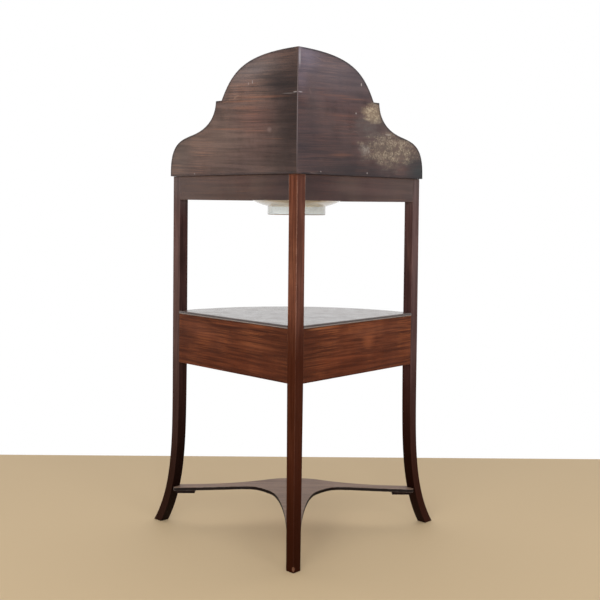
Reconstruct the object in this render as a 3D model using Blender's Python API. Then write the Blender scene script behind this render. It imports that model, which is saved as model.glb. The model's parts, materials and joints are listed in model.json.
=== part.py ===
"""Corner washstand: a mahogany quadrant stand with a hanging basin and a small drawer.

Metres, +Z up. The bow front faces -Y, and the square back post stands at +Y, where the two
straight sides meet at a right angle. Most pieces are placed in one of three frames:
the corner frame, whose origin is the back post's outer arris at floor level, and one frame for
each straight side, whose X runs along that side from the arris towards the front leg.
Right and left are as seen by someone who stands in front of the washstand.
"""
import math

import bmesh
import bpy
from mathutils import Matrix, Vector

# The two straight sides: which way each one lies from the centre line, and its name
sides = ((1, "right"), (-1, "left"))

# Heights above the floor
total_height = 1.130
top_underside_height = 0.8623
shelf_top_height = 0.5355
stretcher_top_height = 0.096

# Plan of the frame
side_length = 0.425  # back post's outer arris to the front leg's end face
post_size = 0.025
leg_size = 0.025
front_reveal = 0.003  # the bow face stands this far past the front legs' inner arris
top_overhang = 0.003  # the top board runs this far past the front legs' end faces

# Boards
top_thickness = 0.015
frieze_height = 0.0567
rail_thickness = 0.016
shelf_thickness = 0.0075
shelf_lip = 0.0015  # the shelf's rounded edge stands proud of the rails
case_rail_height = 0.1188
stretcher_thickness = 0.008
splash_thickness = 0.0075

# Clearances
gap = 0.0003  # between pieces that touch
overrun = 0.004  # cutters run this far past what they cut
drawer_clearance = 0.001  # around the drawer front and beside the drawer

# Joinery of the side rails
tenon_setback = 0.0045  # from the rail's outer face
tenon_thickness = 0.007
tenon_shoulder = 0.008  # above and below the tenon
tenon_web = 0.0015  # wood left between two mortises that meet in the back post

# Back post and front legs
post_foot_size = 0.0223
leg_foot_width = 0.0215  # square to the leg's curve
leg_foot_depth = 0.0246
leg_sweep = 0.0718  # the foot stands this far out along the side
sweep_start_share = 0.9775  # of the case's underside height
sweep_power = 4.1
sweep_steps = 16

# Splash boards: outlines as shares of the side's length and of the splash's height
splash_side_overhang = 0.0017
arch_shares = ((0, 1), (0.371, 1), (0.4755, 0.885), (0.561, 0.6376))
neck_shares = ((0.608, 0.6376), (0.612, 0.516), (0.661, 0.4105), (0.8024, 0.3612))
shoulder_shares = ((0.8024, 0.3612), (0.9024, 0.3265), (1, 0.3037), (1, 0.0418))
curve_steps = 10

# Quadrant shelf in the splash corner
corner_shelf_radius = 0.105
corner_shelf_thickness = 0.006
corner_shelf_height_share = 0.615  # of the splash's height, to the shelf's underside

# Front bow rails, dividers and dummy fronts of the drawer case
bow_steps = 24
front_rail_thickness = 0.016
case_front_rail_depth = 0.030
upper_rail_height = 0.012
lower_rail_height = 0.014
drawer_opening_width = 0.200
divider_width = 0.014
divider_depth = 0.024
dummy_front_thickness = 0.010

# Basin: radii as shares of the rim's radius, heights as shares of the bowl's depth from its rim
basin_depth = 0.105  # the foot hangs this far below the top board's upper face
basin_body_share = 0.93
basin_rail_clearance = 0.0105
basin_front_clearance = 0.0125
basin_hole_clearance = 0.0015
basin_rim_thickness = 0.005
basin_outer_shares = ((0.413, 0), (0.460, 0), (0.460, 0.19), (0.565, 0.235), (0.683, 0.31), (0.80, 0.45),
                      (0.885, 0.64), (0.925, 0.85), (0.93, 1))
basin_inner_shares = ((0.90, 0.96), (0.888, 0.84), (0.845, 0.655), (0.765, 0.49), (0.65, 0.365), (0.53, 0.29),
                      (0.40, 0.25), (0, 0.235))
basin_recess_shares = ((0, 0.165), (0.30, 0.16), (0.402, 0.13))
basin_segments = 44

# Cup holes in the top board
cup_hole_radius = 0.030
cup_hole_margin = 0.006
hole_segments = 24

# Drawer
drawer_front_thickness = 0.016
drawer_side_thickness = 0.008
drawer_back_thickness = 0.008
drawer_bottom_thickness = 0.005
drawer_bottom_lift = 0.007  # from the sides' lower edge to the bottom board
drawer_side_drop = 0.012  # the sides stop this far below the opening's top
drawer_back_clearance = 0.0085
groove_depth = 0.0035
runner_width = 0.032
runner_thickness = 0.010
guide_width = 0.012
guide_height = 0.020
stop_length = 0.020
stop_width = 0.009
stop_height = 0.004
stop_place_share = 0.5  # of half the drawer's width

# Knobs
knob_radius = 0.010
knob_neck_radius = 0.005
knob_reach = 0.021
knob_plate_radius = 0.0115
knob_plate_thickness = 0.0012
knob_shank_radius = 0.0025
nut_radius = 0.0052
nut_thickness = 0.0032
shank_tail = 0.0015  # past the nut
knob_segments = 16

# Glue blocks
block_length = 0.040
block_size = 0.014
block_place_shares = (0.15, 0.62)  # of the side's length

# Stretcher: half of the outline, across and depth, as shares of the side's length
stem_near_shares = ((0.0372, 0.0381), (0.0426, 0.2595), (0.0751, 0.5706), (0.1306, 0.64))
arm_near_shares = ((0.1306, 0.64), (0.2508, 0.7904), (0.236, 0.7233), (0.6947, 0.6953))
arm_end_shares = ((0.7, 0.715), (0.674, 0.7687))
arm_far_shares = ((0.665, 0.7687), (0.5379, 0.7753), (0.3904, 0.7786), (0.2082, 0.8551))
front_bulge_shares = ((0.2082, 0.8551), (0.1113, 0.8958), (0.1064, 0.9082), (0, 0.9082))
cleat_thickness = 0.0075
cleat_near_share = 0.713
cleat_far_share = 0.765
cleat_inner_share = 0.575
cleat_outer_share = 0.685
cleat_screw_share = 0.619

# Fasteners
nail_head_radius = 0.002
nail_head_thickness = 0.0008
nail_shank_radius = 0.0009
nail_length = 0.020
nail_segments = 8
splash_nail_shares = (0.13, 0.50, 0.86)  # along the side
shelf_nail_share = 0.13
screw_head_radius = 0.0035
screw_head_thickness = 0.002
screw_shank_radius = 0.0016
screw_length = 0.0125

# Sizes that follow from those above
root_two = math.sqrt(2)
quarter = math.radians(45)
splash_apex = (splash_thickness + gap) * root_two
top_surface_height = top_underside_height + top_thickness
frieze_bottom_height = top_underside_height - frieze_height
splash_height = total_height - top_underside_height
corner_shelf_height = top_underside_height + corner_shelf_height_share * splash_height
shelf_underside_height = shelf_top_height - shelf_thickness
case_bottom_height = shelf_underside_height - case_rail_height
sweep_start_height = sweep_start_share * case_bottom_height
opening_bottom_height = case_bottom_height + lower_rail_height
opening_top_height = shelf_underside_height - upper_rail_height
front_radius = side_length - leg_size + front_reveal
front_inner_radius = front_radius - front_rail_thickness
top_radius = side_length + top_overhang
shelf_radius = front_radius + shelf_lip
corner_y = (top_radius - splash_apex) / 2
tenon_length = post_size - tenon_setback - tenon_thickness - tenon_web
basin_side_distance = rail_thickness + basin_rail_clearance
basin_body_radius = ((front_inner_radius - basin_front_clearance - root_two * basin_side_distance)
                     / (1 + root_two))
basin_rim_radius = basin_body_radius / basin_body_share
basin_centre_depth = root_two * (basin_side_distance + basin_body_radius)
cup_centre_radius = front_inner_radius - cup_hole_margin - cup_hole_radius
cup_side_distance = rail_thickness + cup_hole_margin + cup_hole_radius
cup_centre_angle = quarter - math.asin(cup_side_distance / cup_centre_radius)
knob_height = (opening_bottom_height + opening_top_height) / 2
drawer_half_width = drawer_opening_width / 2 - drawer_clearance
drawer_back_depth = drawer_opening_width / 2 + root_two * (rail_thickness + drawer_back_clearance)
drawer_inner_radius = front_radius - drawer_front_thickness
drawer_bottom_height = opening_bottom_height + gap
dummy_knob_angle = (quarter + math.asin((drawer_opening_width / 2 + divider_width) / front_radius)) / 2

# Colours of the finishes
dark_mahogany = (0.070, 0.036, 0.026)
red_mahogany = (0.130, 0.038, 0.018)
warm_mahogany = (0.150, 0.052, 0.026)
dusty_mahogany = (0.105, 0.070, 0.060)
shelf_mahogany = (0.170, 0.120, 0.105)
drawer_pine = (0.420, 0.290, 0.160)
glazed_white = (0.780, 0.770, 0.730)
brass_yellow = (0.560, 0.400, 0.170)
iron_grey = (0.200, 0.180, 0.165)


def clear_scene():
    """Removes the objects of the scene that the file opened with."""
    for item in list(bpy.data.objects):
        bpy.data.objects.remove(item, do_unlink=True)


def make_material(name, colour, roughness, metallic=0):
    """Makes one plain finish for one piece."""
    material = bpy.data.materials.new(name)
    material.use_nodes = True
    shader = material.node_tree.nodes["Principled BSDF"]
    shader.inputs["Base Color"].default_value = (*colour, 1)
    shader.inputs["Roughness"].default_value = roughness
    shader.inputs["Metallic"].default_value = metallic
    material.diffuse_color = (*colour, 1)
    return material


def wood(name, colour):
    return make_material(name + "_finish", colour, 0.45)


def brass(name):
    return make_material(name + "_finish", brass_yellow, 0.3, 1)


def iron(name):
    return make_material(name + "_finish", iron_grey, 0.6, 1)


def make_empty(name, location, turn=0, parent=None):
    """Makes a frame that pieces are placed in."""
    empty = bpy.data.objects.new(name, None)
    empty.location = location
    empty.rotation_euler = (0, 0, turn)
    empty.parent = parent
    bpy.context.scene.collection.objects.link(empty)
    return empty


def make_mesh(name, shape, smooth=False):
    """Turns a bmesh into a mesh whose faces point outwards."""
    bmesh.ops.recalc_face_normals(shape, faces=shape.faces)
    mesh = bpy.data.meshes.new(name)
    shape.to_mesh(mesh)
    shape.free()
    if smooth:
        mesh.shade_smooth()
        mesh.set_sharp_from_angle(angle=quarter)
    return mesh


def place_mesh(name, mesh, parent, place=None):
    """Makes an object of a mesh and places it in its parent's frame."""
    item = bpy.data.objects.new(name, mesh)
    item.parent = parent
    if place:
        item.matrix_basis = place
    bpy.context.scene.collection.objects.link(item)
    return item


def make_object(name, shape, parent, material=None, smooth=False):
    """Makes one piece of the washstand, with a finish of its own."""
    mesh = make_mesh(name, shape, smooth)
    if material:
        mesh.materials.append(material)
    return place_mesh(name, mesh, parent)


def make_copies(places, shape, parent, material, smooth=False):
    """Makes like pieces that share one mesh, from a dictionary of names and places."""
    mesh = make_mesh(next(iter(places)), shape, smooth)
    mesh.materials.append(material)
    for name, place in places.items():
        place_mesh(name, mesh, parent, place)


def make_tool(name, shape, parent):
    """Makes a shape that only cuts others or adds to them, and isn't a piece."""
    tool = make_object(name, shape, parent)
    tool.display_type = "WIRE"
    tool.hide_render = True
    return tool


def combine(target, tool, operation):
    modifier = target.modifiers.new(operation.lower() + "_" + tool.name, "BOOLEAN")
    modifier.operation = operation
    modifier.object = tool
    modifier.solver = "EXACT"


def cut(target, tool):
    combine(target, tool, "DIFFERENCE")


def unite(target, tool):
    combine(target, tool, "UNION")


def loft(rings):
    """Joins rings of equal length into one closed body, with flat ends."""
    shape = bmesh.new()
    loops = [[shape.verts.new(point) for point in ring] for ring in rings]
    for lower, upper in zip(loops, loops[1:]):
        for index in range(len(lower)):
            following = (index + 1) % len(lower)
            shape.faces.new((lower[index], lower[following], upper[following], upper[index]))
    shape.faces.new(loops[0])
    shape.faces.new(loops[-1])
    return shape


def slab(outline, low, high):
    """Raises a flat outline of (x, y) points into a board between two heights."""
    return loft([[Vector((x, y, height)) for x, y in outline] for height in (low, high)])


def block(low, high):
    """Makes a box between two corners."""
    outline = ((low[0], low[1]), (high[0], low[1]), (high[0], high[1]), (low[0], high[1]))
    return slab(outline, low[2], high[2])


def grown_block(low, high, growth):
    return block([value - growth for value in low], [value + growth for value in high])


def circle(radius, height, segments):
    angles = [math.tau * index / segments for index in range(segments)]
    return [Vector((radius * math.cos(angle), radius * math.sin(angle), height)) for angle in angles]


def turned(profile, segments, places=(Matrix.Identity(4),)):
    """Turns one profile of (radius, height) points about Z, from axis to axis, at every place."""
    shape = bmesh.new()
    for place in places:
        rings = []
        for radius, height in profile:
            if radius == 0:
                rings.append([shape.verts.new(place @ Vector((0, 0, height)))])
                continue
            rings.append([shape.verts.new(place @ point) for point in circle(radius, height, segments)])
        for lower, upper in zip(rings, rings[1:]):
            for index in range(segments):
                corners = (lower[index % len(lower)], lower[(index + 1) % segments % len(lower)],
                           upper[(index + 1) % segments % len(upper)], upper[index % len(upper)])
                shape.faces.new(list(dict.fromkeys(corners)))
    return shape


def bezier(points, steps, with_end=True):
    """Points on a cubic curve; the end is left out where the next curve starts there."""
    result = []
    for index in range(steps + with_end):
        t = index / steps
        weights = ((1 - t) ** 3, 3 * (1 - t) ** 2 * t, 3 * (1 - t) * t ** 2, t ** 3)
        result.append([sum(weight * value for weight, value in zip(weights, values))
                       for values in zip(*points)])
    return result


def bow(radius, start, end, steps=bow_steps):
    """Points of an arc about the corner arris; angles are taken from the centre line towards the right."""
    angles = [start + (end - start) * index / steps for index in range(steps + 1)]
    return [(radius * math.sin(angle), -radius * math.cos(angle)) for angle in angles]


def end_angle(radius, inward):
    """Where an arc about the corner arris meets a line that runs inside the right side."""
    return quarter - math.asin(inward / radius)


def band(outer, inner, angles, low, high):
    """A curved board about the corner arris, between two angles."""
    return slab(bow(outer, *angles) + bow(inner, *angles)[::-1], low, high)


def bow_depth(radius, across):
    """How far in front of the corner arris an arc stands at a distance from the centre line."""
    return math.sqrt(radius ** 2 - across ** 2)


def side_vector(hand, along, inward, height):
    """A point in a side's frame; inward is measured from the side's outer face into the stand."""
    return Vector((along, -hand * inward, height))


def side_block(hand, low, high, growth=0):
    """A box in a side's frame between two (along, inward, height) corners."""
    edges = sorted((-hand * low[1], -hand * high[1]))
    return grown_block((low[0], edges[0], low[2]), (high[0], edges[1], high[2]), growth)


def post_shape(growth=0):
    """The back post: square, with its outer faces plumb and its inner faces tapering to the foot."""
    rings = []
    levels = ((0, post_foot_size), (case_bottom_height, post_size), (top_underside_height - gap, post_size))
    for height, size in levels:
        low, high = -growth, size + growth
        rings.append([side_vector(1, along, inward, height)
                      for along, inward in ((low, low), (high, low), (high, high), (low, high))])
    return loft(rings)


def leg_ring(hand, height, growth):
    """One level of a front leg, which sweeps out along its side below the drawer case."""
    fall = max(0, (sweep_start_height - height) / sweep_start_height)
    outer = side_length + leg_sweep * fall ** sweep_power
    slope = leg_sweep * sweep_power * fall ** (sweep_power - 1) / sweep_start_height
    width = (leg_size + (leg_foot_width - leg_size) * fall) * math.hypot(1, slope)
    depth = leg_size + (leg_foot_depth - leg_size) * fall
    near, far = outer - width - growth, outer + growth
    low, high = -growth, depth + growth
    return [side_vector(hand, along, inward, height)
            for along, inward in ((near, low), (far, low), (far, high), (near, high))]


def leg_shape(hand, growth=0):
    levels = [sweep_start_height * index / sweep_steps for index in range(sweep_steps + 1)]
    levels.append(top_underside_height - gap)
    return loft([leg_ring(hand, height, growth) for height in levels])


def tenon_boxes(bottom, height):
    """The two tenons of a side rail, as (along, inward, height) corners."""
    inward = (tenon_setback, tenon_setback + tenon_thickness)
    levels = (bottom + tenon_shoulder, bottom + height - tenon_shoulder)
    starts = (post_size - tenon_length, side_length - leg_size - overrun)
    ends = (post_size + overrun, side_length - leg_size + tenon_length)
    return [((start, inward[0], levels[0]), (end, inward[1], levels[1])) for start, end in zip(starts, ends)]


def make_side_rail(name, hand, frame, bottom, height, post, leg, colour):
    """A side rail with a tenon into the back post and one into the front leg."""
    low = (post_size + gap, 0, bottom)
    high = (side_length - leg_size - gap, rail_thickness, bottom + height)
    rail = make_object(name, side_block(hand, low, high), frame, wood(name, colour))
    for (box_low, box_high), host in zip(tenon_boxes(bottom, height), (post, leg)):
        unite(rail, make_tool(name + "_tenon", side_block(hand, box_low, box_high), frame))
        cut(host, make_tool(name + "_mortise", side_block(hand, box_low, box_high, gap), frame))


def make_posts(frames):
    """The back post and the two swept front legs."""
    post = make_object("back_post", post_shape(), frames[1], wood("back_post", red_mahogany))
    legs = {}
    for hand, side in sides:
        name = "front_leg_" + side
        legs[hand] = make_object(name, leg_shape(hand), frames[hand], wood(name, dark_mahogany))
    return post, legs


def splash_outline(start, run):
    """The splash board's face: square below, with a shoulder, a neck, a step and half of the arch."""
    curves = [bezier(shoulder_shares[::-1], curve_steps), bezier(neck_shares[::-1], curve_steps)[1:],
              bezier(arch_shares[::-1], curve_steps)[:-1]]
    points = [(start, 0), (run, 0)]
    for curve in curves:
        points += [(share_along * run, share_up * splash_height) for share_along, share_up in curve]
    return points + [(start, splash_height)]


def make_splash(hand, side, frame):
    """A splash board, mitred at the corner and set against the top board's edge."""
    rings = []
    for outward in (gap, gap + splash_thickness):
        outline = splash_outline(gap - outward, side_length + splash_side_overhang)
        rings.append([side_vector(hand, along, -outward, top_underside_height + height)
                      for along, height in outline])
    name = "splash_board_" + side
    return make_object(name, loft(rings), frame, wood(name, dusty_mahogany))


def make_corner_shelf(corner):
    outline = [(0, 0)] + bow(corner_shelf_radius, -quarter, quarter, curve_steps)
    board = slab(outline, corner_shelf_height, corner_shelf_height + corner_shelf_thickness)
    return make_object("corner_shelf", board, corner, wood("corner_shelf", warm_mahogany))


def hole_tool(name, centre, radius, low, high, segments, corner):
    """A round cutter between two heights."""
    profile = ((0, low), (radius, low), (radius, high), (0, high))
    return make_tool(name, turned(profile, segments, [Matrix.Translation(centre)]), corner)


def make_top_board(corner):
    """The quadrant top, with a rounded bow edge, the basin hole and two cup holes."""
    nose = top_thickness / 4
    rings = []
    for height, setback in ((0, nose), (nose, 0), (top_thickness - nose, 0), (top_thickness, nose)):
        outline = [(0, 0)] + bow(top_radius - setback, -quarter, quarter)
        rings.append([Vector((x, y, top_underside_height + height)) for x, y in outline])
    board = make_object("top_board", loft(rings), corner, wood("top_board", warm_mahogany))
    low, high = top_underside_height - overrun, top_surface_height + overrun
    basin_place = Vector((0, -basin_centre_depth, 0))
    hole_radius = basin_body_radius + basin_hole_clearance
    cut(board, hole_tool("basin_hole", basin_place, hole_radius, low, high, basin_segments, corner))
    for hand, side in sides:
        across = hand * cup_centre_radius * math.sin(cup_centre_angle)
        place = Vector((across, -cup_centre_radius * math.cos(cup_centre_angle), 0))
        cut(board, hole_tool("cup_hole_" + side, place, cup_hole_radius, low, high, hole_segments, corner))
    return board


def leg_notch(hand, frame):
    """Clears the front leg's straight part out of a bow rail or a shelf."""
    low = (side_length - leg_size - gap, -overrun, case_bottom_height - overrun)
    high = (side_length + overrun, leg_size + gap, top_underside_height)
    return make_tool("leg_notch", side_block(hand, low, high), frame)


def corner_point(hand, along, inward):
    """A point of a side in the corner frame."""
    return hand * (along - inward) / root_two, -(along + inward) / root_two


def shelf_outline(edge, radius):
    """The middle shelf, notched round the post and the legs, with its sides and bow at a given reach."""
    near, far = post_size + gap, side_length - leg_size - gap
    leg_face = leg_size + gap
    side_points = {}
    for hand, _ in sides:
        places = ((near, edge), (far, edge), (far, leg_face), (bow_depth(radius, leg_face), leg_face))
        side_points[hand] = [corner_point(hand, along, inward) for along, inward in places]
    angle = end_angle(radius, leg_face)
    arc = bow(radius, angle, -angle)[1:-1]
    return [corner_point(1, near, near)] + side_points[1] + arc + side_points[-1][::-1]


def make_middle_shelf(corner):
    """The thin shelf over the drawer case, with a rounded edge that stands proud all round."""
    nose = shelf_thickness / 4
    rings = []
    for height, setback in ((0, nose), (nose, 0), (shelf_thickness - nose, 0), (shelf_thickness, nose)):
        low = shelf_underside_height + (gap if height == 0 else 0)
        outline = shelf_outline(setback - shelf_lip, shelf_radius - setback)
        rings.append([Vector((x, y, low + height)) for x, y in outline])
    make_object("middle_shelf", loft(rings), corner, wood("middle_shelf", shelf_mahogany))


def make_bow_rail(name, corner, notches, depth, low, high):
    """A bow rail that butts on the side rails and is notched round the front legs."""
    outline = []
    for radius, turn in ((front_radius, 1), (front_radius - depth, -1)):
        end = end_angle(radius, rail_thickness + gap)
        outline += bow(radius, -turn * end, turn * end)
    rail = make_object(name, slab(outline, low, high), corner, wood(name, warm_mahogany))
    for notch in notches.values():
        cut(rail, notch)


def make_case_front(corner, notches):
    """The dividers beside the drawer, and the dummy drawer fronts between them and the legs."""
    low, high = opening_bottom_height + gap, opening_top_height - gap
    half_opening = drawer_opening_width / 2
    for hand, side in sides:
        inner, outer = half_opening, half_opening + divider_width
        back = front_radius - divider_depth
        outline = [(hand * across, -bow_depth(radius, across)) for radius, across
                   in ((front_radius, inner), (front_radius, outer), (back, outer), (back, inner))]
        name = "case_divider_" + side
        make_object(name, slab(outline, low, high), corner, wood(name, warm_mahogany))
        panel_radius = front_radius - dummy_front_thickness
        angles = (hand * math.asin((outer + gap) / panel_radius),
                  hand * end_angle(panel_radius, rail_thickness + gap))
        name = "dummy_front_" + side
        panel = make_object(name, band(front_radius, panel_radius, angles, low, high), corner,
                            wood(name, warm_mahogany))
        cut(panel, notches[hand])
        cut(panel, shank_hole("dummy_shank_hole_" + side, hand * dummy_knob_angle, dummy_front_thickness,
                              corner))


def knob_place(angle):
    """A frame on the bow front, with Z pointing straight out of the face."""
    outward = Vector((math.sin(angle), -math.cos(angle), 0))
    turn = outward.to_track_quat("Z", "Y").to_matrix().to_4x4()
    return Matrix.Translation(outward * front_radius + Vector((0, 0, knob_height))) @ turn


def shank_hole(name, angle, thickness, corner):
    radius = knob_shank_radius + gap
    profile = ((0, -thickness - overrun), (radius, -thickness - overrun), (radius, overrun), (0, overrun))
    return make_tool(name, turned(profile, knob_segments, [knob_place(angle)]), corner)


def knob_profile(thickness):
    """A turned knob: shank, back plate, neck and a flattened ball."""
    tail = -(thickness + gap + nut_thickness + shank_tail)
    plate = gap + knob_plate_thickness
    half_ball = knob_radius / 2
    points = [(0, tail), (knob_shank_radius, tail), (knob_shank_radius, gap), (knob_plate_radius, gap),
              (knob_plate_radius, plate), (knob_neck_radius, plate + knob_plate_thickness),
              (knob_neck_radius, knob_reach - knob_radius - knob_neck_radius / 2)]
    for step in range(1, curve_steps):
        angle = math.pi * step / curve_steps
        points.append((knob_radius * math.sin(angle), knob_reach - half_ball - half_ball * math.cos(angle)))
    return [*points, (0, knob_reach)]


def nut_profile(thickness):
    """A nut turned with a clear bore, open round the shank."""
    far = -(thickness + gap)
    bore = knob_shank_radius + gap
    return ((bore, far - nut_thickness), (nut_radius, far - nut_thickness), (nut_radius, far), (bore, far))


def ring_shape(profile, segments):
    """Turns a closed profile that stays off the axis into a ring."""
    shape = bmesh.new()
    rings = [[shape.verts.new(point) for point in circle(radius, height, segments)]
             for radius, height in profile]
    for lower, upper in zip(rings, rings[1:] + rings[:1]):
        for index in range(segments):
            following = (index + 1) % segments
            shape.faces.new((lower[index], lower[following], upper[following], upper[index]))
    return shape


def make_knobs(places, thickness, parent):
    """Knobs on the bow front and the nuts behind them, from a dictionary of names and places."""
    name = next(iter(places))
    make_copies(places, turned(knob_profile(thickness), knob_segments), parent, brass(name), smooth=True)
    nuts = {knob + "_nut": place for knob, place in places.items()}
    make_copies(nuts, ring_shape(nut_profile(thickness), knob_segments), parent, brass(name + "_nut"))


def make_runners(corner):
    """Runners and guides for the drawer, from the lower bow rail back to the converging side rails."""
    half_opening = drawer_opening_width / 2
    rail_line = root_two * (rail_thickness + gap)
    runner_inner = half_opening + guide_width - runner_width
    guide_outer = half_opening + guide_width
    front_back = front_radius - case_front_rail_depth - gap
    divider_back = front_radius - divider_depth - gap
    for hand, side in sides:
        outline = [(hand * x, -y) for x, y in (
            (runner_inner, runner_inner + rail_line), (guide_outer, guide_outer + rail_line),
            (guide_outer, bow_depth(front_back, guide_outer)),
            (runner_inner, bow_depth(front_back, runner_inner)))]
        name = "drawer_runner_" + side
        make_object(name, slab(outline, opening_bottom_height - runner_thickness, opening_bottom_height),
                    corner, wood(name, drawer_pine))
        outline = [(hand * x, -y) for x, y in (
            (half_opening, half_opening + rail_line), (guide_outer, guide_outer + rail_line),
            (guide_outer, bow_depth(divider_back, guide_outer)),
            (half_opening, bow_depth(divider_back, guide_outer)))]
        name = "drawer_guide_" + side
        low = opening_bottom_height + gap
        make_object(name, slab(outline, low, low + guide_height), corner, wood(name, drawer_pine))


def make_stops(corner):
    """Two small blocks on the lower bow rail that the closed drawer's front rests against."""
    across = stop_place_share * drawer_half_width
    front = bow_depth(drawer_inner_radius - gap, across + stop_length / 2)
    shape = block((-stop_length / 2, 0, 0), (stop_length / 2, stop_width, stop_height))
    places = {"drawer_stop_" + side: Matrix.Translation((hand * across, -front, opening_bottom_height + gap))
              for hand, side in sides}
    make_copies(places, shape, corner, wood("drawer_stop", drawer_pine))


def drawer_bottom_shape(growth):
    """The drawer's bottom board, let into grooves in the sides and the front."""
    half = drawer_half_width - drawer_side_thickness + groove_depth + growth
    radius = drawer_inner_radius + groove_depth + growth
    angle = math.asin(half / radius)
    outline = [(-half, -drawer_back_depth + growth)] + bow(radius, -angle, angle, curve_steps)
    outline.append((half, -drawer_back_depth + growth))
    low = drawer_bottom_height + drawer_bottom_lift - growth
    return slab(outline, low, low + drawer_bottom_thickness + 2 * growth)


def make_drawer(slide):
    """The drawer: a bowed front, two grooved sides, a back that stands on the bottom board, and a knob."""
    half = drawer_half_width
    groove = make_tool("drawer_bottom_groove", drawer_bottom_shape(gap), slide)
    angles = [math.asin(half / radius) for radius in (front_radius, drawer_inner_radius)]
    outline = bow(front_radius, -angles[0], angles[0], curve_steps)
    outline += bow(drawer_inner_radius, angles[1], -angles[1], curve_steps)
    front = make_object("drawer_front", slab(outline, opening_bottom_height + drawer_clearance,
                                             opening_top_height - drawer_clearance), slide,
                        wood("drawer_front", warm_mahogany))
    cut(front, groove)
    cut(front, shank_hole("drawer_shank_hole", 0, drawer_front_thickness, slide))
    side_top = opening_top_height - drawer_side_drop
    seat_radius = drawer_inner_radius - gap
    inner = half - drawer_side_thickness
    for hand, side in sides:
        outline = [(hand * x, -y) for x, y in (
            (inner, drawer_back_depth), (half, drawer_back_depth),
            (half, bow_depth(seat_radius, half)), (inner, bow_depth(seat_radius, inner)))]
        name = "drawer_side_" + side
        board = make_object(name, slab(outline, drawer_bottom_height, side_top), slide,
                            wood(name, drawer_pine))
        cut(board, groove)
    low = drawer_bottom_height + drawer_bottom_lift + drawer_bottom_thickness + gap
    back = block((gap - inner, -drawer_back_depth - drawer_back_thickness, low),
                 (inner - gap, -drawer_back_depth, side_top))
    make_object("drawer_back", back, slide, wood("drawer_back", drawer_pine))
    make_object("drawer_bottom", drawer_bottom_shape(0), slide, wood("drawer_bottom", drawer_pine))
    make_knobs({"drawer_knob": knob_place(0)}, drawer_front_thickness, slide)


def make_basin(lift):
    """The basin: a foot ring, a shallow bowl and a flat rim that rests on the top board."""
    rim_low = basin_depth + gap
    points = [(share * basin_rim_radius, up * basin_depth) for share, up in basin_recess_shares]
    points += [(share * basin_rim_radius, up * basin_depth) for share, up in basin_outer_shares]
    points[-1] = (points[-1][0], rim_low)
    rim_high = rim_low + basin_rim_thickness
    edge = basin_rim_thickness / 4
    points += [(basin_rim_radius - edge, rim_low), (basin_rim_radius, rim_low + edge),
               (basin_rim_radius, rim_high - edge), (basin_rim_radius - edge, rim_high),
               (basin_body_radius, rim_high - edge)]
    points += [(share * basin_rim_radius, up * basin_depth) for share, up in basin_inner_shares]
    shape = turned(points, basin_segments)
    glaze = make_material("wash_basin_finish", glazed_white, 0.15)
    make_object("wash_basin", shape, lift, glaze, smooth=True)


def make_glue_blocks(name, top, frames):
    """Blocks glued in the angle between the side rails and the board above them."""
    for hand, side in sides:
        places = {}
        for place_name, share in zip(("rear", "fore"), block_place_shares):
            place = side_vector(hand, share * side_length, rail_thickness + gap, top - gap - block_size)
            places["_".join((name, side, place_name))] = Matrix.Translation(place)
        shape = side_block(hand, (0, 0, 0), (block_length, block_size, block_size))
        make_copies(places, shape, frames[hand], wood(name + "_" + side, drawer_pine))


def stretcher_outline():
    """The platform: a stem from the back post, two arms to the front legs and a bulging front edge."""
    half = bezier(stem_near_shares, curve_steps, False) + bezier(arm_near_shares, curve_steps)
    half += [*arm_end_shares, *bezier(arm_far_shares, curve_steps, False),
             *bezier(front_bulge_shares, curve_steps)]
    half = [(across * side_length, -depth * side_length) for across, depth in half]
    return half + [(-x, y) for x, y in half[-2::-1]]


def make_stretcher(corner, frames):
    """The stretcher board and the cleats under its arms, both cut round the legs that they meet."""
    low = stretcher_top_height - stretcher_thickness
    tools = [make_tool("leg_clear", leg_shape(hand, gap), frames[hand]) for hand, _ in sides]
    board = make_object("stretcher", slab(stretcher_outline(), low, stretcher_top_height), corner,
                        wood("stretcher", dusty_mahogany))
    cut(board, make_tool("post_clear", post_shape(gap), frames[1]))
    screws = screw_places()
    holes = make_tool("screw_holes", turned(screw_profile(gap), nail_segments, screws), corner)
    cut(board, holes)
    for (hand, side), tool in zip(sides, tools):
        cut(board, tool)
        edges = sorted((hand * cleat_inner_share * side_length, hand * cleat_outer_share * side_length))
        name = "stretcher_cleat_" + side
        shape = block((edges[0], -cleat_far_share * side_length, low - gap - cleat_thickness),
                      (edges[1], -cleat_near_share * side_length, low - gap))
        cleat = make_object(name, shape, corner, wood(name, dark_mahogany))
        cut(cleat, tool)
        cut(cleat, holes)
    places = {"stretcher_screw_" + side: place for (hand, side), place in zip(sides, screws)}
    make_copies(places, turned(screw_profile(0), nail_segments), corner, iron("stretcher_screw"))


def screw_places():
    """One screw up through each cleat into its arm."""
    across = side_length * cleat_screw_share
    depth = side_length * (cleat_near_share + cleat_far_share) / 2
    low = stretcher_top_height - stretcher_thickness - gap - cleat_thickness
    return [Matrix.Translation((hand * across, -depth, low)) for hand, _ in sides]


def screw_profile(growth):
    """A screw with a flat head, set flush with the cleat's underside."""
    start = -overrun if growth else 0
    head, shank = screw_head_radius + growth, screw_shank_radius + growth
    neck, point = screw_head_thickness + growth, screw_length + growth
    return (0, start), (head, start), (head, neck), (shank, neck), (shank, point), (0, point)


def nail_profile(growth):
    """A cut nail with a small flat head, driven flush; Z points out of the board."""
    start = overrun if growth else 0
    head, shank = nail_head_radius + growth, nail_shank_radius + growth
    neck = -nail_head_thickness - growth
    point = -nail_length - growth
    return (0, point), (shank, point), (shank, neck), (head, neck), (head, start), (0, start)


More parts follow.
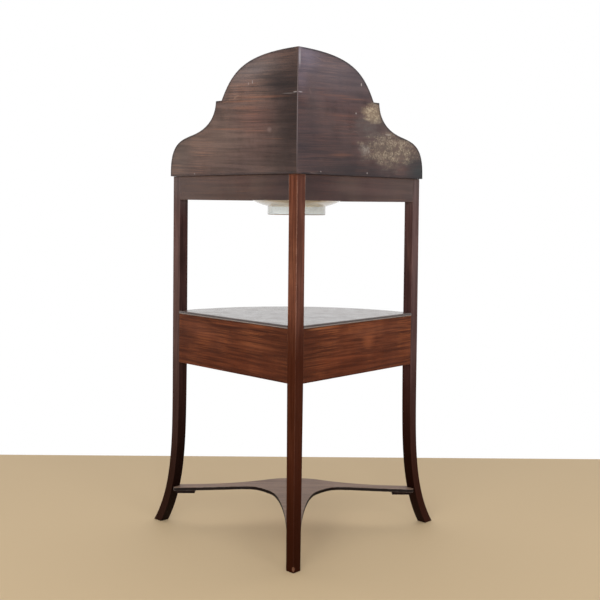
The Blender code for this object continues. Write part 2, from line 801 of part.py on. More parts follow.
def nail_places(hand):
    """Nails through a splash board into the top board's edge and into the corner shelf."""
    top_middle = top_underside_height + top_thickness / 2
    shelf_middle = corner_shelf_height + corner_shelf_thickness / 2
    spots = [(share, top_middle) for share in splash_nail_shares] + [(shelf_nail_share, shelf_middle)]
    turn = Vector((0, hand, 0)).to_track_quat("Z", "Y").to_matrix().to_4x4()
    return [Matrix.Translation(side_vector(hand, share * side_length, -gap - splash_thickness, height)) @ turn
            for share, height in spots]


def nail_up(boards, frames):
    """Drives each side's nails, through holes cut in the boards that they hold."""
    for hand, side in sides:
        spots = nail_places(hand)
        tool = make_tool("nail_holes", turned(nail_profile(gap), nail_segments, spots), frames[hand])
        for board in boards[hand]:
            cut(board, tool)
        places = {"splash_nail_%s_%d" % (side, number): place for number, place in enumerate(spots, 1)}
        make_copies(places, turned(nail_profile(0), nail_segments), frames[hand], iron("splash_nail_" + side))


def build_washstand():
    clear_scene()
    corner = make_empty("back_corner", (0, corner_y, 0))
    frames = {1: make_empty("right_side", (0, 0, 0), -quarter, corner),
              -1: make_empty("left_side", (0, 0, 0), -math.pi + quarter, corner)}
    post, legs = make_posts(frames)
    for hand, side in sides:
        make_side_rail("top_rail_" + side, hand, frames[hand], frieze_bottom_height, frieze_height - gap,
                       post, legs[hand], dusty_mahogany)
        make_side_rail("case_rail_" + side, hand, frames[hand], case_bottom_height, case_rail_height,
                       post, legs[hand], warm_mahogany)
    notches = {hand: leg_notch(hand, frames[hand]) for hand, _ in sides}
    make_bow_rail("top_rail_front", corner, notches, front_rail_thickness, frieze_bottom_height,
                  top_underside_height - gap)
    make_bow_rail("case_rail_upper", corner, notches, case_front_rail_depth, opening_top_height,
                  shelf_underside_height)
    make_bow_rail("case_rail_lower", corner, notches, case_front_rail_depth, case_bottom_height,
                  opening_bottom_height)
    make_case_front(corner, notches)
    dummies = {"dummy_knob_" + side: knob_place(hand * dummy_knob_angle) for hand, side in sides}
    make_knobs(dummies, dummy_front_thickness, corner)
    make_runners(corner)
    make_stops(corner)
    make_middle_shelf(corner)
    top_board = make_top_board(corner)
    corner_shelf = make_corner_shelf(corner)
    splashes = {hand: make_splash(hand, side, frames[hand]) for hand, side in sides}
    nail_up({hand: (splashes[hand], top_board, corner_shelf) for hand, _ in sides}, frames)
    make_glue_blocks("top_block", top_underside_height, frames)
    make_glue_blocks("case_block", shelf_underside_height, frames)
    make_stretcher(corner, frames)
    lift = make_empty("basin_lift", (0, -basin_centre_depth, top_surface_height - basin_depth), 0, corner)
    make_basin(lift)
    slide = make_empty("drawer_slide", (0, 0, 0), 0, corner)
    make_drawer(slide)


build_washstand()
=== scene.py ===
# %% [markdown]
# # A mahogany corner washstand, seen from behind
#
# This stand was made to fit into the corner of a bedroom. A basin hangs through its top, two
# shaped boards keep splashes off the walls, and a small drawer sits under the middle shelf.
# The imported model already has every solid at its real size. This script gives each one the
# surface that the photograph shows: worn polish, straight mahogany grain, glaze and old brass.

import json
import math

import bmesh
import bpy
from mathutils import Matrix, Vector

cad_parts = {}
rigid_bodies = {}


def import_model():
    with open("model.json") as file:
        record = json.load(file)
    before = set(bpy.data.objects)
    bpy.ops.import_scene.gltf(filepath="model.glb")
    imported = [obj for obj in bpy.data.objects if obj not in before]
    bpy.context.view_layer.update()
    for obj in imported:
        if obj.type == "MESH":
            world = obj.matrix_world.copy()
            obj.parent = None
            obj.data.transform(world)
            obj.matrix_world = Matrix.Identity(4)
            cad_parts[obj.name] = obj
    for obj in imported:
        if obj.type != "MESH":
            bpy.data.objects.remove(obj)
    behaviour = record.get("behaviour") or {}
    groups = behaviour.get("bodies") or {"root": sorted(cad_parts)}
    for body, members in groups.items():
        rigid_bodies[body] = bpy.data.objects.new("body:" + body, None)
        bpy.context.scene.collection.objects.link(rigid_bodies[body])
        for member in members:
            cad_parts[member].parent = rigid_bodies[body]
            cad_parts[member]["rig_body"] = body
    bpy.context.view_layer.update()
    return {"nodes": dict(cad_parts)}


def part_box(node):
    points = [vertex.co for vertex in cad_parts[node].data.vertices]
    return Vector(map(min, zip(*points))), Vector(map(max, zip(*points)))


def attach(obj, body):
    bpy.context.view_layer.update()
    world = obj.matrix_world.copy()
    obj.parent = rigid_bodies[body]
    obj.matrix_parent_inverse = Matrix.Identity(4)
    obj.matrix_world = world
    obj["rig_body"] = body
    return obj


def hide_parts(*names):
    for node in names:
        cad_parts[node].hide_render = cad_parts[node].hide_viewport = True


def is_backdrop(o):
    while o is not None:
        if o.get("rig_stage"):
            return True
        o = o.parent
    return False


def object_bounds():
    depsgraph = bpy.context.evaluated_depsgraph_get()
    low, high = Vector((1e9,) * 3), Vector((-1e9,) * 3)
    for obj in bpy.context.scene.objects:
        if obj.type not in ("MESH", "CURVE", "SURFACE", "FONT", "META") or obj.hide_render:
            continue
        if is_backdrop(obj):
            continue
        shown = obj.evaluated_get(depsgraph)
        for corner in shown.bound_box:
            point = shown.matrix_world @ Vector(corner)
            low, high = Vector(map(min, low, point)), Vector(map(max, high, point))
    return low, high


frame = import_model()
nodes = frame["nodes"]


def in_short(place):
    """A place to a tenth of a millimetre, for printing."""
    return [round(value, 4) for value in place]


# %% [markdown]
# ## Where things are
#
# The back post's outer arris is the corner of the stand. From there, two straight sides run
# forwards at right angles to each other. Most pieces are easier to describe along one of these
# sides, so each side gets two directions: along it, and straight out of it. The curved front is
# an arc about the same corner, so there a place is an angle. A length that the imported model
# knows is measured on its nodes.

# %% The corner, its two sides, and a ruler
corner = Vector((0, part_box("back_post")[1].y, 0))
diagonal = math.sqrt(0.5)
hands = {"right": 1, "left": -1}
along = {side: Vector((hand * diagonal, -diagonal, 0)) for side, hand in hands.items()}
outward = {side: Vector((hand * diagonal, diagonal, 0)) for side, hand in hands.items()}
forward = Vector((0, -1, 0))


def reach(node, axis):
    """How far a node reaches along an axis through the corner: its lowest and its highest place."""
    places = [(vertex.co - corner).dot(axis) for vertex in nodes[node].data.vertices]
    return min(places), max(places)


def level(node, top=False):
    """The height of a node's underside, or of its top."""
    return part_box(node)[top].z


def centre_of(node):
    """The middle of a node's box."""
    low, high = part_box(node)
    return (low + high) / 2


def side_place(side, along_it, inward, height):
    """A point along a side, inwards from its outer face, and up from the floor."""
    return corner + along[side] * along_it - outward[side] * inward + Vector((0, 0, height))


def bow_place(radius, angle, height):
    """A point on an arc about the corner; the angle is taken from the middle of the front."""
    return corner + Vector((radius * math.sin(angle), -radius * math.cos(angle), height))


print("the corner is at", in_short(corner))

# %% [markdown]
# ## Camera
#
# The photograph was taken from behind the stand, a little above its middle shelf, from about two
# metres away. The picture's own centre lies below the point that the lens looks at, so the camera
# has a small shift instead of a steep tilt. That keeps the legs upright, as they are in the picture.

# %% Camera at the photograph's viewing angle
scene = bpy.context.scene
camera_back = 2.0077  # from the corner to the lens
camera_aside = 0.0089
camera_height = 0.7945
camera_pitch = math.radians(2.033)  # downwards
camera_yaw = math.radians(-0.61)
camera_roll = math.radians(0.599)
picture_side = 600
lens_pixels = 942.365
aim_pixel = (302.5, 239)  # where the lens looks straight ahead

camera_data = bpy.data.cameras.new("camera")
camera_data.sensor_width = 36
camera_data.lens = lens_pixels * camera_data.sensor_width / picture_side
camera_data.shift_x = (picture_side / 2 - aim_pixel[0]) / picture_side
camera_data.shift_y = (aim_pixel[1] - picture_side / 2) / picture_side
camera = bpy.data.objects.new("camera", camera_data)
camera_turn = Matrix.Rotation(math.pi + camera_yaw, 4, "Z")
camera_turn @= Matrix.Rotation(math.pi / 2 - camera_pitch, 4, "X")
camera_turn @= Matrix.Rotation(camera_roll, 4, "Z")
camera_place = corner + Vector((camera_aside, camera_back, camera_height))
camera.matrix_world = Matrix.Translation(camera_place) @ camera_turn
scene.collection.objects.link(camera)
scene.camera = camera
print("lens", round(camera_data.lens, 2), "mm")

# %% [markdown]
# ## Node helpers
#
# A shader or a geometry tree is made of nodes. Wiring one by hand is slow to read, so a few
# small helpers do it: the first adds any node, and the others add the nodes that most trees
# below need. A value can be a plain number, or the output of another node. A node group has
# sockets of its own, so three more helpers start a group: with any sockets, for a surface
# effect, and for a shape.

# %% Helpers that add and wire nodes


def add(tree, kind, inputs=(), **settings):
    """Adds a node; inputs maps a socket's name or number to a value or to another node's output."""
    node = tree.nodes.new(kind)
    for name, value in settings.items():
        setattr(node, name, value)
    for name, value in dict(inputs).items():
        if isinstance(value, bpy.types.NodeSocket):
            tree.links.new(value, node.inputs[name])
        else:
            node.inputs[name].default_value = value
    return node


def maths(tree, operation, *values):
    return add(tree, "ShaderNodeMath", enumerate(values), operation=operation).outputs[0]


def vectors(tree, operation, *values):
    return add(tree, "ShaderNodeVectorMath", enumerate(values), operation=operation).outputs["Vector"]


def scaled(tree, vector, factor):
    values = {0: vector, "Scale": factor}
    return add(tree, "ShaderNodeVectorMath", values, operation="SCALE").outputs["Vector"]


def measured(tree, operation, *values):
    """Vector maths that gives a number, such as a length or a distance."""
    return add(tree, "ShaderNodeVectorMath", enumerate(values), operation=operation).outputs["Value"]


def combine(tree, x, y, z):
    return add(tree, "ShaderNodeCombineXYZ", {"X": x, "Y": y, "Z": z}).outputs[0]


def separate(tree, vector):
    return add(tree, "ShaderNodeSeparateXYZ", {"Vector": vector}).outputs


def noise(tree, vector, scale, detail=2.0, roughness=0.5):
    values = {"Vector": vector, "Scale": scale, "Detail": detail, "Roughness": roughness}
    return add(tree, "ShaderNodeTexNoise", values).outputs[0]


def fade(tree, value, start, end, low=0.0, high=1.0):
    """Turns a value's range from start to end into a soft step from low to high."""
    values = {0: value, 1: start, 2: end, 3: low, 4: high}
    return add(tree, "ShaderNodeMapRange", values, interpolation_type="SMOOTHSTEP").outputs[0]


def mix(tree, amount, first, second, blend="MIX"):
    """Mixes two colours, which are sockets 6 and 7 of a Mix node; an amount of 0 gives the first."""
    values = {0: amount, 6: first, 7: second}
    return add(tree, "ShaderNodeMix", values, data_type="RGBA", blend_type=blend).outputs[2]


def mix_numbers(tree, amount, first, second):
    """The same for two numbers, which are sockets 2 and 3."""
    return add(tree, "ShaderNodeMix", {0: amount, 2: first, 3: second}).outputs[0]


def colour(red, green, blue):
    return red, green, blue, 1


def face_normal(tree):
    return tree.nodes.new("ShaderNodeNewGeometry").outputs["Normal"]


def upwards(tree):
    """1 where a face looks straight up, 0 where it stands upright, and -1 underneath."""
    return separate(tree, face_normal(tree))["Z"]


print("helpers for shader nodes are ready")

# %% Helpers that start a node group


def new_tree(name, kind, inputs, outputs):
    """Starts a node group: inputs maps a name to a value, or to a socket kind that has none."""
    kinds = {float: "Float", int: "Int", tuple: "Vector"}
    tree = bpy.data.node_groups.new(name, kind)
    for label, value in inputs.items():
        socket_kind = kinds.get(type(value), value)
        socket = tree.interface.new_socket(label, in_out="INPUT", socket_type="NodeSocket" + socket_kind)
        if socket_kind != value:
            socket.default_value = value
    for label, socket_kind in outputs.items():
        tree.interface.new_socket(label, in_out="OUTPUT", socket_type="NodeSocket" + socket_kind)
    return tree, tree.nodes.new("NodeGroupInput").outputs, tree.nodes.new("NodeGroupOutput").inputs


def new_effect(name, values, *masks):
    """Starts a shader group that takes a place and some values, and puts out masks."""
    inputs = {"Vector": (0.0, 0.0, 0.0), **values}
    return new_tree(name, "ShaderNodeTree", inputs, dict.fromkeys(masks, "Float"))


def new_shape(name, sizes):
    """Starts a geometry tree that takes a mesh, its sizes and a material, and gives a shape."""
    inputs = {"Geometry": "Geometry", **sizes, "Material": "Material"}
    return new_tree(name, "GeometryNodeTree", inputs, {"Geometry": "Geometry"})


print("helpers for node groups are ready")

# %% [markdown]
# ## Grain as a node group
#
# Mahogany is mostly straight grained: long bands of lighter and darker red-brown, fine streaks
# in them, and short dark pores. All of these are noise that is stretched along the board, and a
# slower noise makes the lines sway a little. Each effect that more than one finish uses is a
# group that puts out masks from 0 to 1, so that every finish can use it with its own colours.

# %% The grain group


def make_grain_group():
    """Noise stretched along X: broad bands, fine streaks, short pores and a slow change of tone."""
    values = {"Seed": 0.0, "Band": 0.012, "Sway": 0.012}
    tree, given, result = new_effect("wood grain", values, "Band", "Streak", "Pore", "Figure")
    shift = scaled(tree, combine(tree, 0.37, 0.11, 0.23), given["Seed"])
    place = vectors(tree, "ADD", given["Vector"], shift)
    slow_noise = noise(tree, vectors(tree, "MULTIPLY", place, (1.8, 6, 6)), 1.0)
    sway = maths(tree, "MULTIPLY", maths(tree, "SUBTRACT", slow_noise, 0.5), given["Sway"])
    place = vectors(tree, "ADD", place, combine(tree, 0.0, sway, sway))
    band_scale = maths(tree, "DIVIDE", 1.0, given["Band"])
    # Each mask has the stretch of its place, its noise's scale, detail and roughness, and its step.
    for mask, stretch, scale, detail, roughness, start, end in (
            ("Band", (0.045, 1, 1), band_scale, 3.0, 0.6, 0.34, 0.66),
            ("Streak", (0.02, 1, 1), 430.0, 2.0, 0.5, 0.42, 0.70),
            ("Pore", (0.07, 1, 1), 2300.0, 1.0, 0.5, 0.62, 0.70),
            ("Figure", (1, 0.5, 0.5), 13.0, 3.0, 0.5, 0.34, 0.66)):
        lines = noise(tree, vectors(tree, "MULTIPLY", place, stretch), scale, detail, roughness)
        tree.links.new(fade(tree, lines, start, end), result[mask])
    return tree


grain_group = make_grain_group()
print("grain group:", len(grain_group.nodes), "nodes")

# %% [markdown]
# ## Dust, wear, scratches and patches
#
# These lie over the grain. Dust comes in soft clouds and fine specks. Worn arrises are found with
# the Bevel node, whose rounded normal differs from the face's own normal only near an edge.
# Scratches are the thin borders between stretched cells. A patch is a ragged oval at a chosen
# place, for the pale bloom, the dark cloud and the lighter knot that the photograph shows.

# %% The groups for what lies over the grain


def make_dust_group():
    """Soft clouds of dust, and fine specks."""
    tree, given, result = new_effect("dust", {"Seed": 0.0, "Cloud size": 0.11}, "Cloud", "Speck")
    place = vectors(tree, "ADD", given["Vector"], combine(tree, given["Seed"], 0.0, 0.0))
    clouds = noise(tree, place, maths(tree, "DIVIDE", 1.0, given["Cloud size"]), 4.0, 0.6)
    tree.links.new(fade(tree, clouds, 0.36, 0.66), result["Cloud"])
    tree.links.new(fade(tree, noise(tree, place, 480.0, 1.0), 0.66, 0.74), result["Speck"])
    return tree


def make_wear_group():
    """A mask along arrises; the more broken it is, the more the wear comes and goes."""
    tree, given, result = new_effect("edge wear", {"Radius": 0.002, "Broken": 1.0}, "Mask")
    rounded_normal = add(tree, "ShaderNodeBevel", {"Radius": given["Radius"]}, samples=4).outputs[0]
    arris = fade(tree, measured(tree, "DOT_PRODUCT", rounded_normal, face_normal(tree)), 0.995, 0.90)
    gaps = fade(tree, noise(tree, given["Vector"], 55.0, 3.0, 0.65), 0.62, 0.36)
    whole = maths(tree, "SUBTRACT", 1.0, maths(tree, "MULTIPLY", gaps, given["Broken"]))
    tree.links.new(maths(tree, "MULTIPLY", arris, whole), result["Mask"])
    return tree


def cell_borders(tree, vector, scale, width):
    """Thin lines along the borders between random cells."""
    values = {"Vector": vector, "Scale": scale}
    web = add(tree, "ShaderNodeTexVoronoi", values, feature="DISTANCE_TO_EDGE")
    return fade(tree, web.outputs["Distance"], width, 0.0)


def make_scratch_group():
    """Thin lines that mostly run with the grain, in a few places only."""
    tree, given, result = new_effect("scratches", {"Seed": 0.0}, "Mask")
    place = vectors(tree, "ADD", given["Vector"], combine(tree, given["Seed"], given["Seed"], 0.0))
    line = cell_borders(tree, vectors(tree, "MULTIPLY", place, (7, 60, 60)), 1.0, 0.03)
    somewhere = fade(tree, noise(tree, place, 13.0, 2.0), 0.60, 0.70)
    tree.links.new(maths(tree, "MULTIPLY", line, somewhere), result["Mask"])
    return tree


def make_patch_group():
    """An oval with soft and ragged borders, solid or mottled, that soaks a little way into a board."""
    values = {"Centre": (0.0, 0.0, 0.0), "Size": (0.1, 0.006, 0.1), "Soft": 0.5, "Ragged": 0.1, "Mottle": 0.0}
    tree, given, result = new_effect("patch", values, "Mask")
    from_centre = vectors(tree, "SUBTRACT", given["Vector"], given["Centre"])
    distance = measured(tree, "LENGTH", vectors(tree, "DIVIDE", from_centre, given["Size"]))
    along_grain = vectors(tree, "MULTIPLY", given["Vector"], (0.3, 1, 1))
    wander = maths(tree, "SUBTRACT", noise(tree, along_grain, 60.0, 5.0, 0.65), 0.5)
    wander = maths(tree, "MULTIPLY", wander, maths(tree, "MULTIPLY", given["Ragged"], 4.0))
    distance = maths(tree, "ADD", distance, wander)
    oval = fade(tree, distance, 1.0, maths(tree, "SUBTRACT", 1.0, given["Soft"]))
    spots = fade(tree, noise(tree, given["Vector"], 190.0, 4.0, 0.8), 0.44, 0.58)
    clumps = fade(tree, noise(tree, given["Vector"], 48.0, 3.0, 0.6), 0.38, 0.60)
    bare = maths(tree, "SUBTRACT", 1.0, maths(tree, "MULTIPLY", spots, clumps))
    kept = maths(tree, "SUBTRACT", 1.0, maths(tree, "MULTIPLY", given["Mottle"], bare))
    tree.links.new(maths(tree, "MULTIPLY", oval, kept), result["Mask"])
    return tree


dust_group = make_dust_group()
wear_group = make_wear_group()
scratch_group = make_scratch_group()
patch_group = make_patch_group()
print("effect groups:", dust_group.name, wear_group.name, scratch_group.name, patch_group.name)

# %% [markdown]
# ## Finishes, built up as a polisher would
#
# A finish starts as bare wood, and then each layer goes over it: old polish, dust, worn arrises,
# scratches. Each layer is a short function that paints a colour and a roughness where its mask
# says so. The grain has to run along each piece, so every finish says how its wood lies. On a
# side's boards, X is then also the distance from the corner, so a mark can be put at its place.

# %% How the wood lies, and how a finish starts
corner_shift = diagonal * corner.y
lies = {
    "right": ((corner_shift, -corner_shift, 0), (0, 0, math.radians(45))),
    "left": ((corner_shift, corner_shift, 0), (0, 0, math.radians(135))),
    "upright": ((0, 0, 0), (0, math.radians(90), 0)),
    "across": ((0, 0, 0), (0, 0, 0)),
    "deep": ((0, 0, 0), (0, 0, math.radians(90))),
}


def object_place(tree):
    return tree.nodes.new("ShaderNodeTexCoord").outputs["Object"]


def start_finish(name, lie="across", **sockets):
    """Starts a material and gives its tree, its shader and a place vector whose X runs with the grain."""
    material = bpy.data.materials.new(name)
    material.use_nodes = True
    tree = material.node_tree
    shader = tree.nodes["Principled BSDF"]
    for socket, value in sockets.items():
        shader.inputs[socket.replace("_", " ")].default_value = value
    location, rotation = lies[lie]
    turn = {"Vector": object_place(tree), "Location": location, "Rotation": rotation}
    place = add(tree, "ShaderNodeMapping", turn).outputs[0]
    return material, tree, shader, place


def effect(tree, group, **values):
    """Places a group with its own values and gives its outputs."""
    inputs = {name.replace("_", " ").capitalize(): value for name, value in values.items()}
    return add(tree, "ShaderNodeGroup", inputs, node_tree=group).outputs


def paint(tree, mask, over_colour=None, over_roughness=None):
    """Paints a colour, a roughness or both over what a finish has so far, where the mask is 1."""
    shader = tree.nodes["Principled BSDF"]
    if isinstance(over_colour, tuple):
        over_colour = colour(*over_colour)
    for socket, over, blend in (("Base Color", over_colour, mix), ("Roughness", over_roughness, mix_numbers)):
        if over is not None:
            under = shader.inputs[socket].links[0].from_socket
            tree.links.new(blend(tree, mask, under, over), shader.inputs[socket])


def slanted(tree, place, rise):
    """Turns a board's place a little, so that lines along X climb away from the corner."""
    parts = separate(tree, place)
    level_height = maths(tree, "SUBTRACT", parts["Z"], maths(tree, "MULTIPLY", parts["X"], rise))
    return combine(tree, parts["X"], parts["Y"], level_height)


print("the grain can lie:", list(lies))

# %% Bare wood
pore_relief = 0.00012  # how deep the pores look
pore_strength = 0.55
pore_shade = 0.3  # of the wood's deepest colour
streak_cover = 0.15  # about how much of a board its light streaks cover


def usual_tone(deep, body, light, light_share):
    """The colour that a wood has on average."""
    tone = []
    for low, high, top in zip(deep, body, light):
        middle = (low + high) / 2
        tone.append(middle + streak_cover * light_share * (top - middle))
    return colour(*tone)


def bare_wood(name, lie, seed, deep, body, light, band=0.012, light_share=0.5, rough=(0.38, 0.5),
              sway=0.012, rise=0.0, **sockets):
    """Wood from a deep to a body colour in bands, with light streaks, dark pores and a little relief."""
    material, tree, shader, place = start_finish(name, lie, **sockets)
    grain = effect(tree, grain_group, vector=slanted(tree, place, rise), seed=seed, band=band, sway=sway)
    tone = mix(tree, grain["Band"], colour(*deep), colour(*body))
    streak = maths(tree, "MULTIPLY", maths(tree, "MULTIPLY", grain["Streak"], grain["Figure"]), light_share)
    tone = mix(tree, streak, tone, colour(*light))
    pore_colour = colour(*[value * pore_shade for value in deep])
    tone = mix(tree, maths(tree, "MULTIPLY", grain["Pore"], pore_strength), tone, pore_colour)
    tree.links.new(tone, shader.inputs["Base Color"])
    relative = mix(tree, 1.0, tone, usual_tone(deep, body, light, light_share), "DIVIDE")
    relative.node.name = "relative tone"
    tree.links.new(fade(tree, grain["Streak"], 0.0, 1.0, *rough), shader.inputs["Roughness"])
    height = maths(tree, "SUBTRACT", maths(tree, "MULTIPLY", grain["Streak"], 0.4), grain["Pore"])
    bump = add(tree, "ShaderNodeBump", {"Height": height, "Distance": pore_relief, "Strength": 1.0})
    tree.links.new(bump.outputs[0], shader.inputs["Normal"])
    return material, tree, place


def grained(tree, red, green, blue, through=0.7):
    """Another colour for the same wood: its own light and dark streaks show through."""
    flat = colour(red, green, blue)
    relative = tree.nodes["relative tone"].outputs[2]
    return mix(tree, through, flat, mix(tree, 1.0, relative, flat, "MULTIPLY"))


print("wood: pores", pore_relief * 1000, "mm deep")

# %% Layers over the wood


def settle_dust(tree, place, seed, dust_colour, amount, cloud_size=0.11):
    masks = effect(tree, dust_group, vector=place, seed=seed, cloud_size=cloud_size)
    paint(tree, maths(tree, "MULTIPLY", masks["Cloud"], amount), dust_colour, 0.7)
    paint(tree, maths(tree, "MULTIPLY", masks["Speck"], amount), dust_colour)


def wear_arrises(tree, place, worn_colour, amount, radius=0.0022, broken=1.0):
    mask = effect(tree, wear_group, vector=place, radius=radius, broken=broken)["Mask"]
    paint(tree, maths(tree, "MULTIPLY", mask, amount), worn_colour, 0.4)


def scratch(tree, place, seed, scratch_colour, amount):
    mask = effect(tree, scratch_group, vector=place, seed=seed)["Mask"]
    paint(tree, maths(tree, "MULTIPLY", mask, amount), scratch_colour, 0.6)


soak_depth = 0.0065  # a mark does not reach a board's other face


def patch(tree, place, centre, size, patch_colour, amount, soft=0.5, ragged=0.1, mottle=0.0, roughness=None):
    """Paints an oval on a board's outer face; centre and half size are given along it and up it."""
    mask = effect(tree, patch_group, vector=place, centre=(centre[0], 0, centre[1]),
                  size=(size[0], soak_depth, size[1]), soft=soft, ragged=ragged, mottle=mottle)["Mask"]
    paint(tree, maths(tree, "MULTIPLY", mask, amount), patch_colour, roughness)


def cloud(tree, place, centre, size, cloud_colour, amount):
    """A large, very soft change of tone, with no border, under which the grain still shows."""
    patch(tree, place, centre, size, grained(tree, *cloud_colour, through=0.6), amount, soft=1.0, ragged=0.08)


def grain_line(tree, place, start, end, height, thickness, line_colour, amount):
    """A fine streak that runs with a slanted board's grain; height is where it would meet the corner."""
    centre = (start + end) / 2, height
    patch(tree, place, centre, ((end - start) / 2, thickness), line_colour, amount, soft=0.8)


print("layers: dust, wear, scratches, patches")

# %% [markdown]
# ## The backs of the splash boards
#
# These faces stood against a wall and never had much polish. They are brown and dull, with dust
# in the grain and a few reddish streaks that show through. The two boards aged apart: the right
# one has a dark cloud near its top and orange lines at the height of the step, and the left one
# is purplish and has two pale blooms where damp plaster touched it. Each of these marks is a
# patch at its own distance from the corner and height from the floor.

# %% What each splash board's back shows
dust_grey = (0.21, 0.165, 0.145)
olive_dust = (0.135, 0.098, 0.080)
bloom_beige = (0.36, 0.27, 0.18)
bloom_cream = (0.56, 0.47, 0.34)
mark_grey = (0.36, 0.31, 0.30)
slate_grey = (0.135, 0.118, 0.112)
orange_streak = (0.25, 0.105, 0.062)
soft_mark = {"soft": 0.8}
ragged_mark = {"ragged": 0.3}
plain_mark = {}

# Wood: seed, deep, body and light colour. Dust: seed, colour, amount, cloud size. Streaks: where
# they start and end, height, thickness, colour, amount. The others: centre and half size, along
# the board and up it, then colour and amount, and a bloom's mottle or a mark's border.
# Scratches: seed, colour, amount.
splash_looks = {
    "right": {
        "wood": (5.0, (0.056, 0.034, 0.030), (0.128, 0.076, 0.065), (0.235, 0.120, 0.086)),
        "dust": ((5.0, olive_dust, 0.35, 0.09), (8.0, (0.185, 0.122, 0.110), 0.28, 0.022)),
        "clouds": (
            ((0.27, 0.955), (0.20, 0.10), (0.145, 0.093, 0.075), 0.65),
            ((0.40, 0.90), (0.10, 0.10), (0.112, 0.082, 0.070), 0.7),
            ((0.14, 1.095), (0.15, 0.05), (0.138, 0.108, 0.106), 0.85),
            ((0.08, 1.125), (0.10, 0.020), (0.150, 0.090, 0.080), 0.6),
            ((0.12, 0.985), (0.13, 0.055), (0.112, 0.054, 0.045), 0.7),
            ((0.10, 0.905), (0.11, 0.055), (0.078, 0.044, 0.037), 0.7),
            ((0.20, 0.872), (0.30, 0.050), (0.084, 0.053, 0.046), 0.6),
            ((0.05, 1.060), (0.12, 0.042), (0.040, 0.028, 0.028), 0.95),
            ((0.0, 0.98), (0.14, 0.30), (0.022, 0.013, 0.012), 0.95),
        ),
        "streaks": (
            (0.06, 0.28, 1.019, 0.0035, orange_streak, 0.38),
            (0.00, 0.22, 1.027, 0.0045, orange_streak, 0.32),
            (0.10, 0.22, 1.004, 0.006, orange_streak, 0.30),
            (0.13, 0.30, 0.957, 0.0022, orange_streak, 0.48),
            (0.07, 0.17, 0.953, 0.0018, orange_streak, 0.32),
            (0.02, 0.12, 0.936, 0.002, orange_streak, 0.2),
            (-0.006, 0.046, 1.0325, 0.0012, mark_grey, 0.30),
        ),
        "blooms": (),
        "shadows": (),
        "marks": (
            ((0.001, 1.035), (0.009, 0.002), mark_grey, 0.6, soft_mark),
            ((0.135, 1.067), (0.0016, 0.006), mark_grey, 0.6, ragged_mark),
            ((0.148, 1.064), (0.0014, 0.004), mark_grey, 0.5, ragged_mark),
            ((0.080, 0.958), (0.011, 0.009), (0.20, 0.135, 0.12), 0.55, {"soft": 0.9, "ragged": 0.4}),
            ((0.335, 0.867), (0.0022, 0.0022), mark_grey, 0.7, plain_mark),
            ((-0.0060, 0.99), (0.0019, 0.17), (0.150, 0.118, 0.122), 0.9, {"soft": 0.7, "ragged": 0.02}),
        ),
        "scratches": (5.0, (0.28, 0.17, 0.12), 0.5),
    },
    "left": {
        "wood": (1.0, (0.044, 0.026, 0.028), (0.080, 0.043, 0.042), (0.165, 0.072, 0.058)),
        "dust": ((2.0, (0.120, 0.095, 0.092), 0.3, 0.10), (7.0, (0.145, 0.088, 0.086), 0.22, 0.025)),
        "clouds": (
            ((0.10, 1.09), (0.26, 0.10), (0.118, 0.090, 0.100), 0.95),
            ((0.015, 1.115), (0.07, 0.05), (0.180, 0.145, 0.182), 0.85),
            ((0.0, 1.065), (0.035, 0.045), (0.125, 0.098, 0.128), 0.6),
            ((0.0, 0.93), (0.15, 0.13), (0.052, 0.037, 0.042), 0.85),
            ((0.10, 0.915), (0.16, 0.055), (0.052, 0.034, 0.036), 0.8),
            ((0.16, 0.875), (0.24, 0.040), (0.037, 0.028, 0.031), 0.85),
        ),
        "streaks": (
            (0.10, 0.235, 1.0265, 0.0022, orange_streak, 0.38),
            (0.02, 0.20, 1.032, 0.004, orange_streak, 0.20),
            (0.07, 0.19, 0.9015, 0.005, orange_streak, 0.30),
            (0.05, 0.20, 0.989, 0.003, orange_streak, 0.15),
        ),
        "blooms": (
            ((0.215, 0.985), (0.055, 0.040), slate_grey, 0.55, 0.5),
            ((0.234, 1.008), (0.050, 0.027), bloom_beige, 0.60, 0.2),
            ((0.234, 1.008), (0.046, 0.026), bloom_cream, 0.72, 1.0),
            ((0.31, 0.935), (0.14, 0.075), slate_grey, 0.60, 0.6),
            ((0.305, 0.925), (0.13, 0.050), bloom_beige, 0.36, 0.6),
            ((0.310, 0.930), (0.12, 0.046), bloom_cream, 0.46, 1.0),
            ((0.210, 0.922), (0.030, 0.016), (0.33, 0.30, 0.27), 0.60, 0.7),
        ),
        "shadows": (((0.415, 0.880), (0.085, 0.055), (0.040, 0.042, 0.045), 0.95),),
        "marks": (
            ((-0.004, 1.108), (0.005, 0.028), (0.34, 0.31, 0.34), 0.8, {"soft": 0.9}),
            ((-0.001, 1.035), (0.009, 0.0020), (0.42, 0.38, 0.40), 0.6, soft_mark),
            ((0.195, 1.069), (0.0022, 0.004), (0.42, 0.36, 0.35), 0.8, ragged_mark),
            ((0.178, 1.003), (0.0030, 0.003), (0.42, 0.38, 0.36), 0.5, ragged_mark),
            ((0.292, 0.962), (0.014, 0.003), (0.40, 0.35, 0.30), 0.5, {"ragged": 0.4}),
            ((0.0645, 0.8685), (0.0020, 0.0020), mark_grey, 0.8, plain_mark),
            ((0.219, 0.870), (0.0024, 0.0024), mark_grey, 0.8, plain_mark),
        ),
        "scratches": (3.0, (0.24, 0.16, 0.14), 0.35),
    },
}
for side, look in splash_looks.items():
    counted = sum(len(look[kind]) for kind in ("clouds", "streaks", "blooms", "shadows", "marks"))
    print("the", side, "splash board has", counted, "marks")

# %% Splash board finishes
edge_black = (0.018, 0.017, 0.021)
edge_width = 0.011  # how far the black reaches in from the shaped edge
mitre_clear = (0.001, 0.008)  # the black fades in between these distances from the corner
grain_rise = 0.045  # how far the grain climbs along each unit of these boards


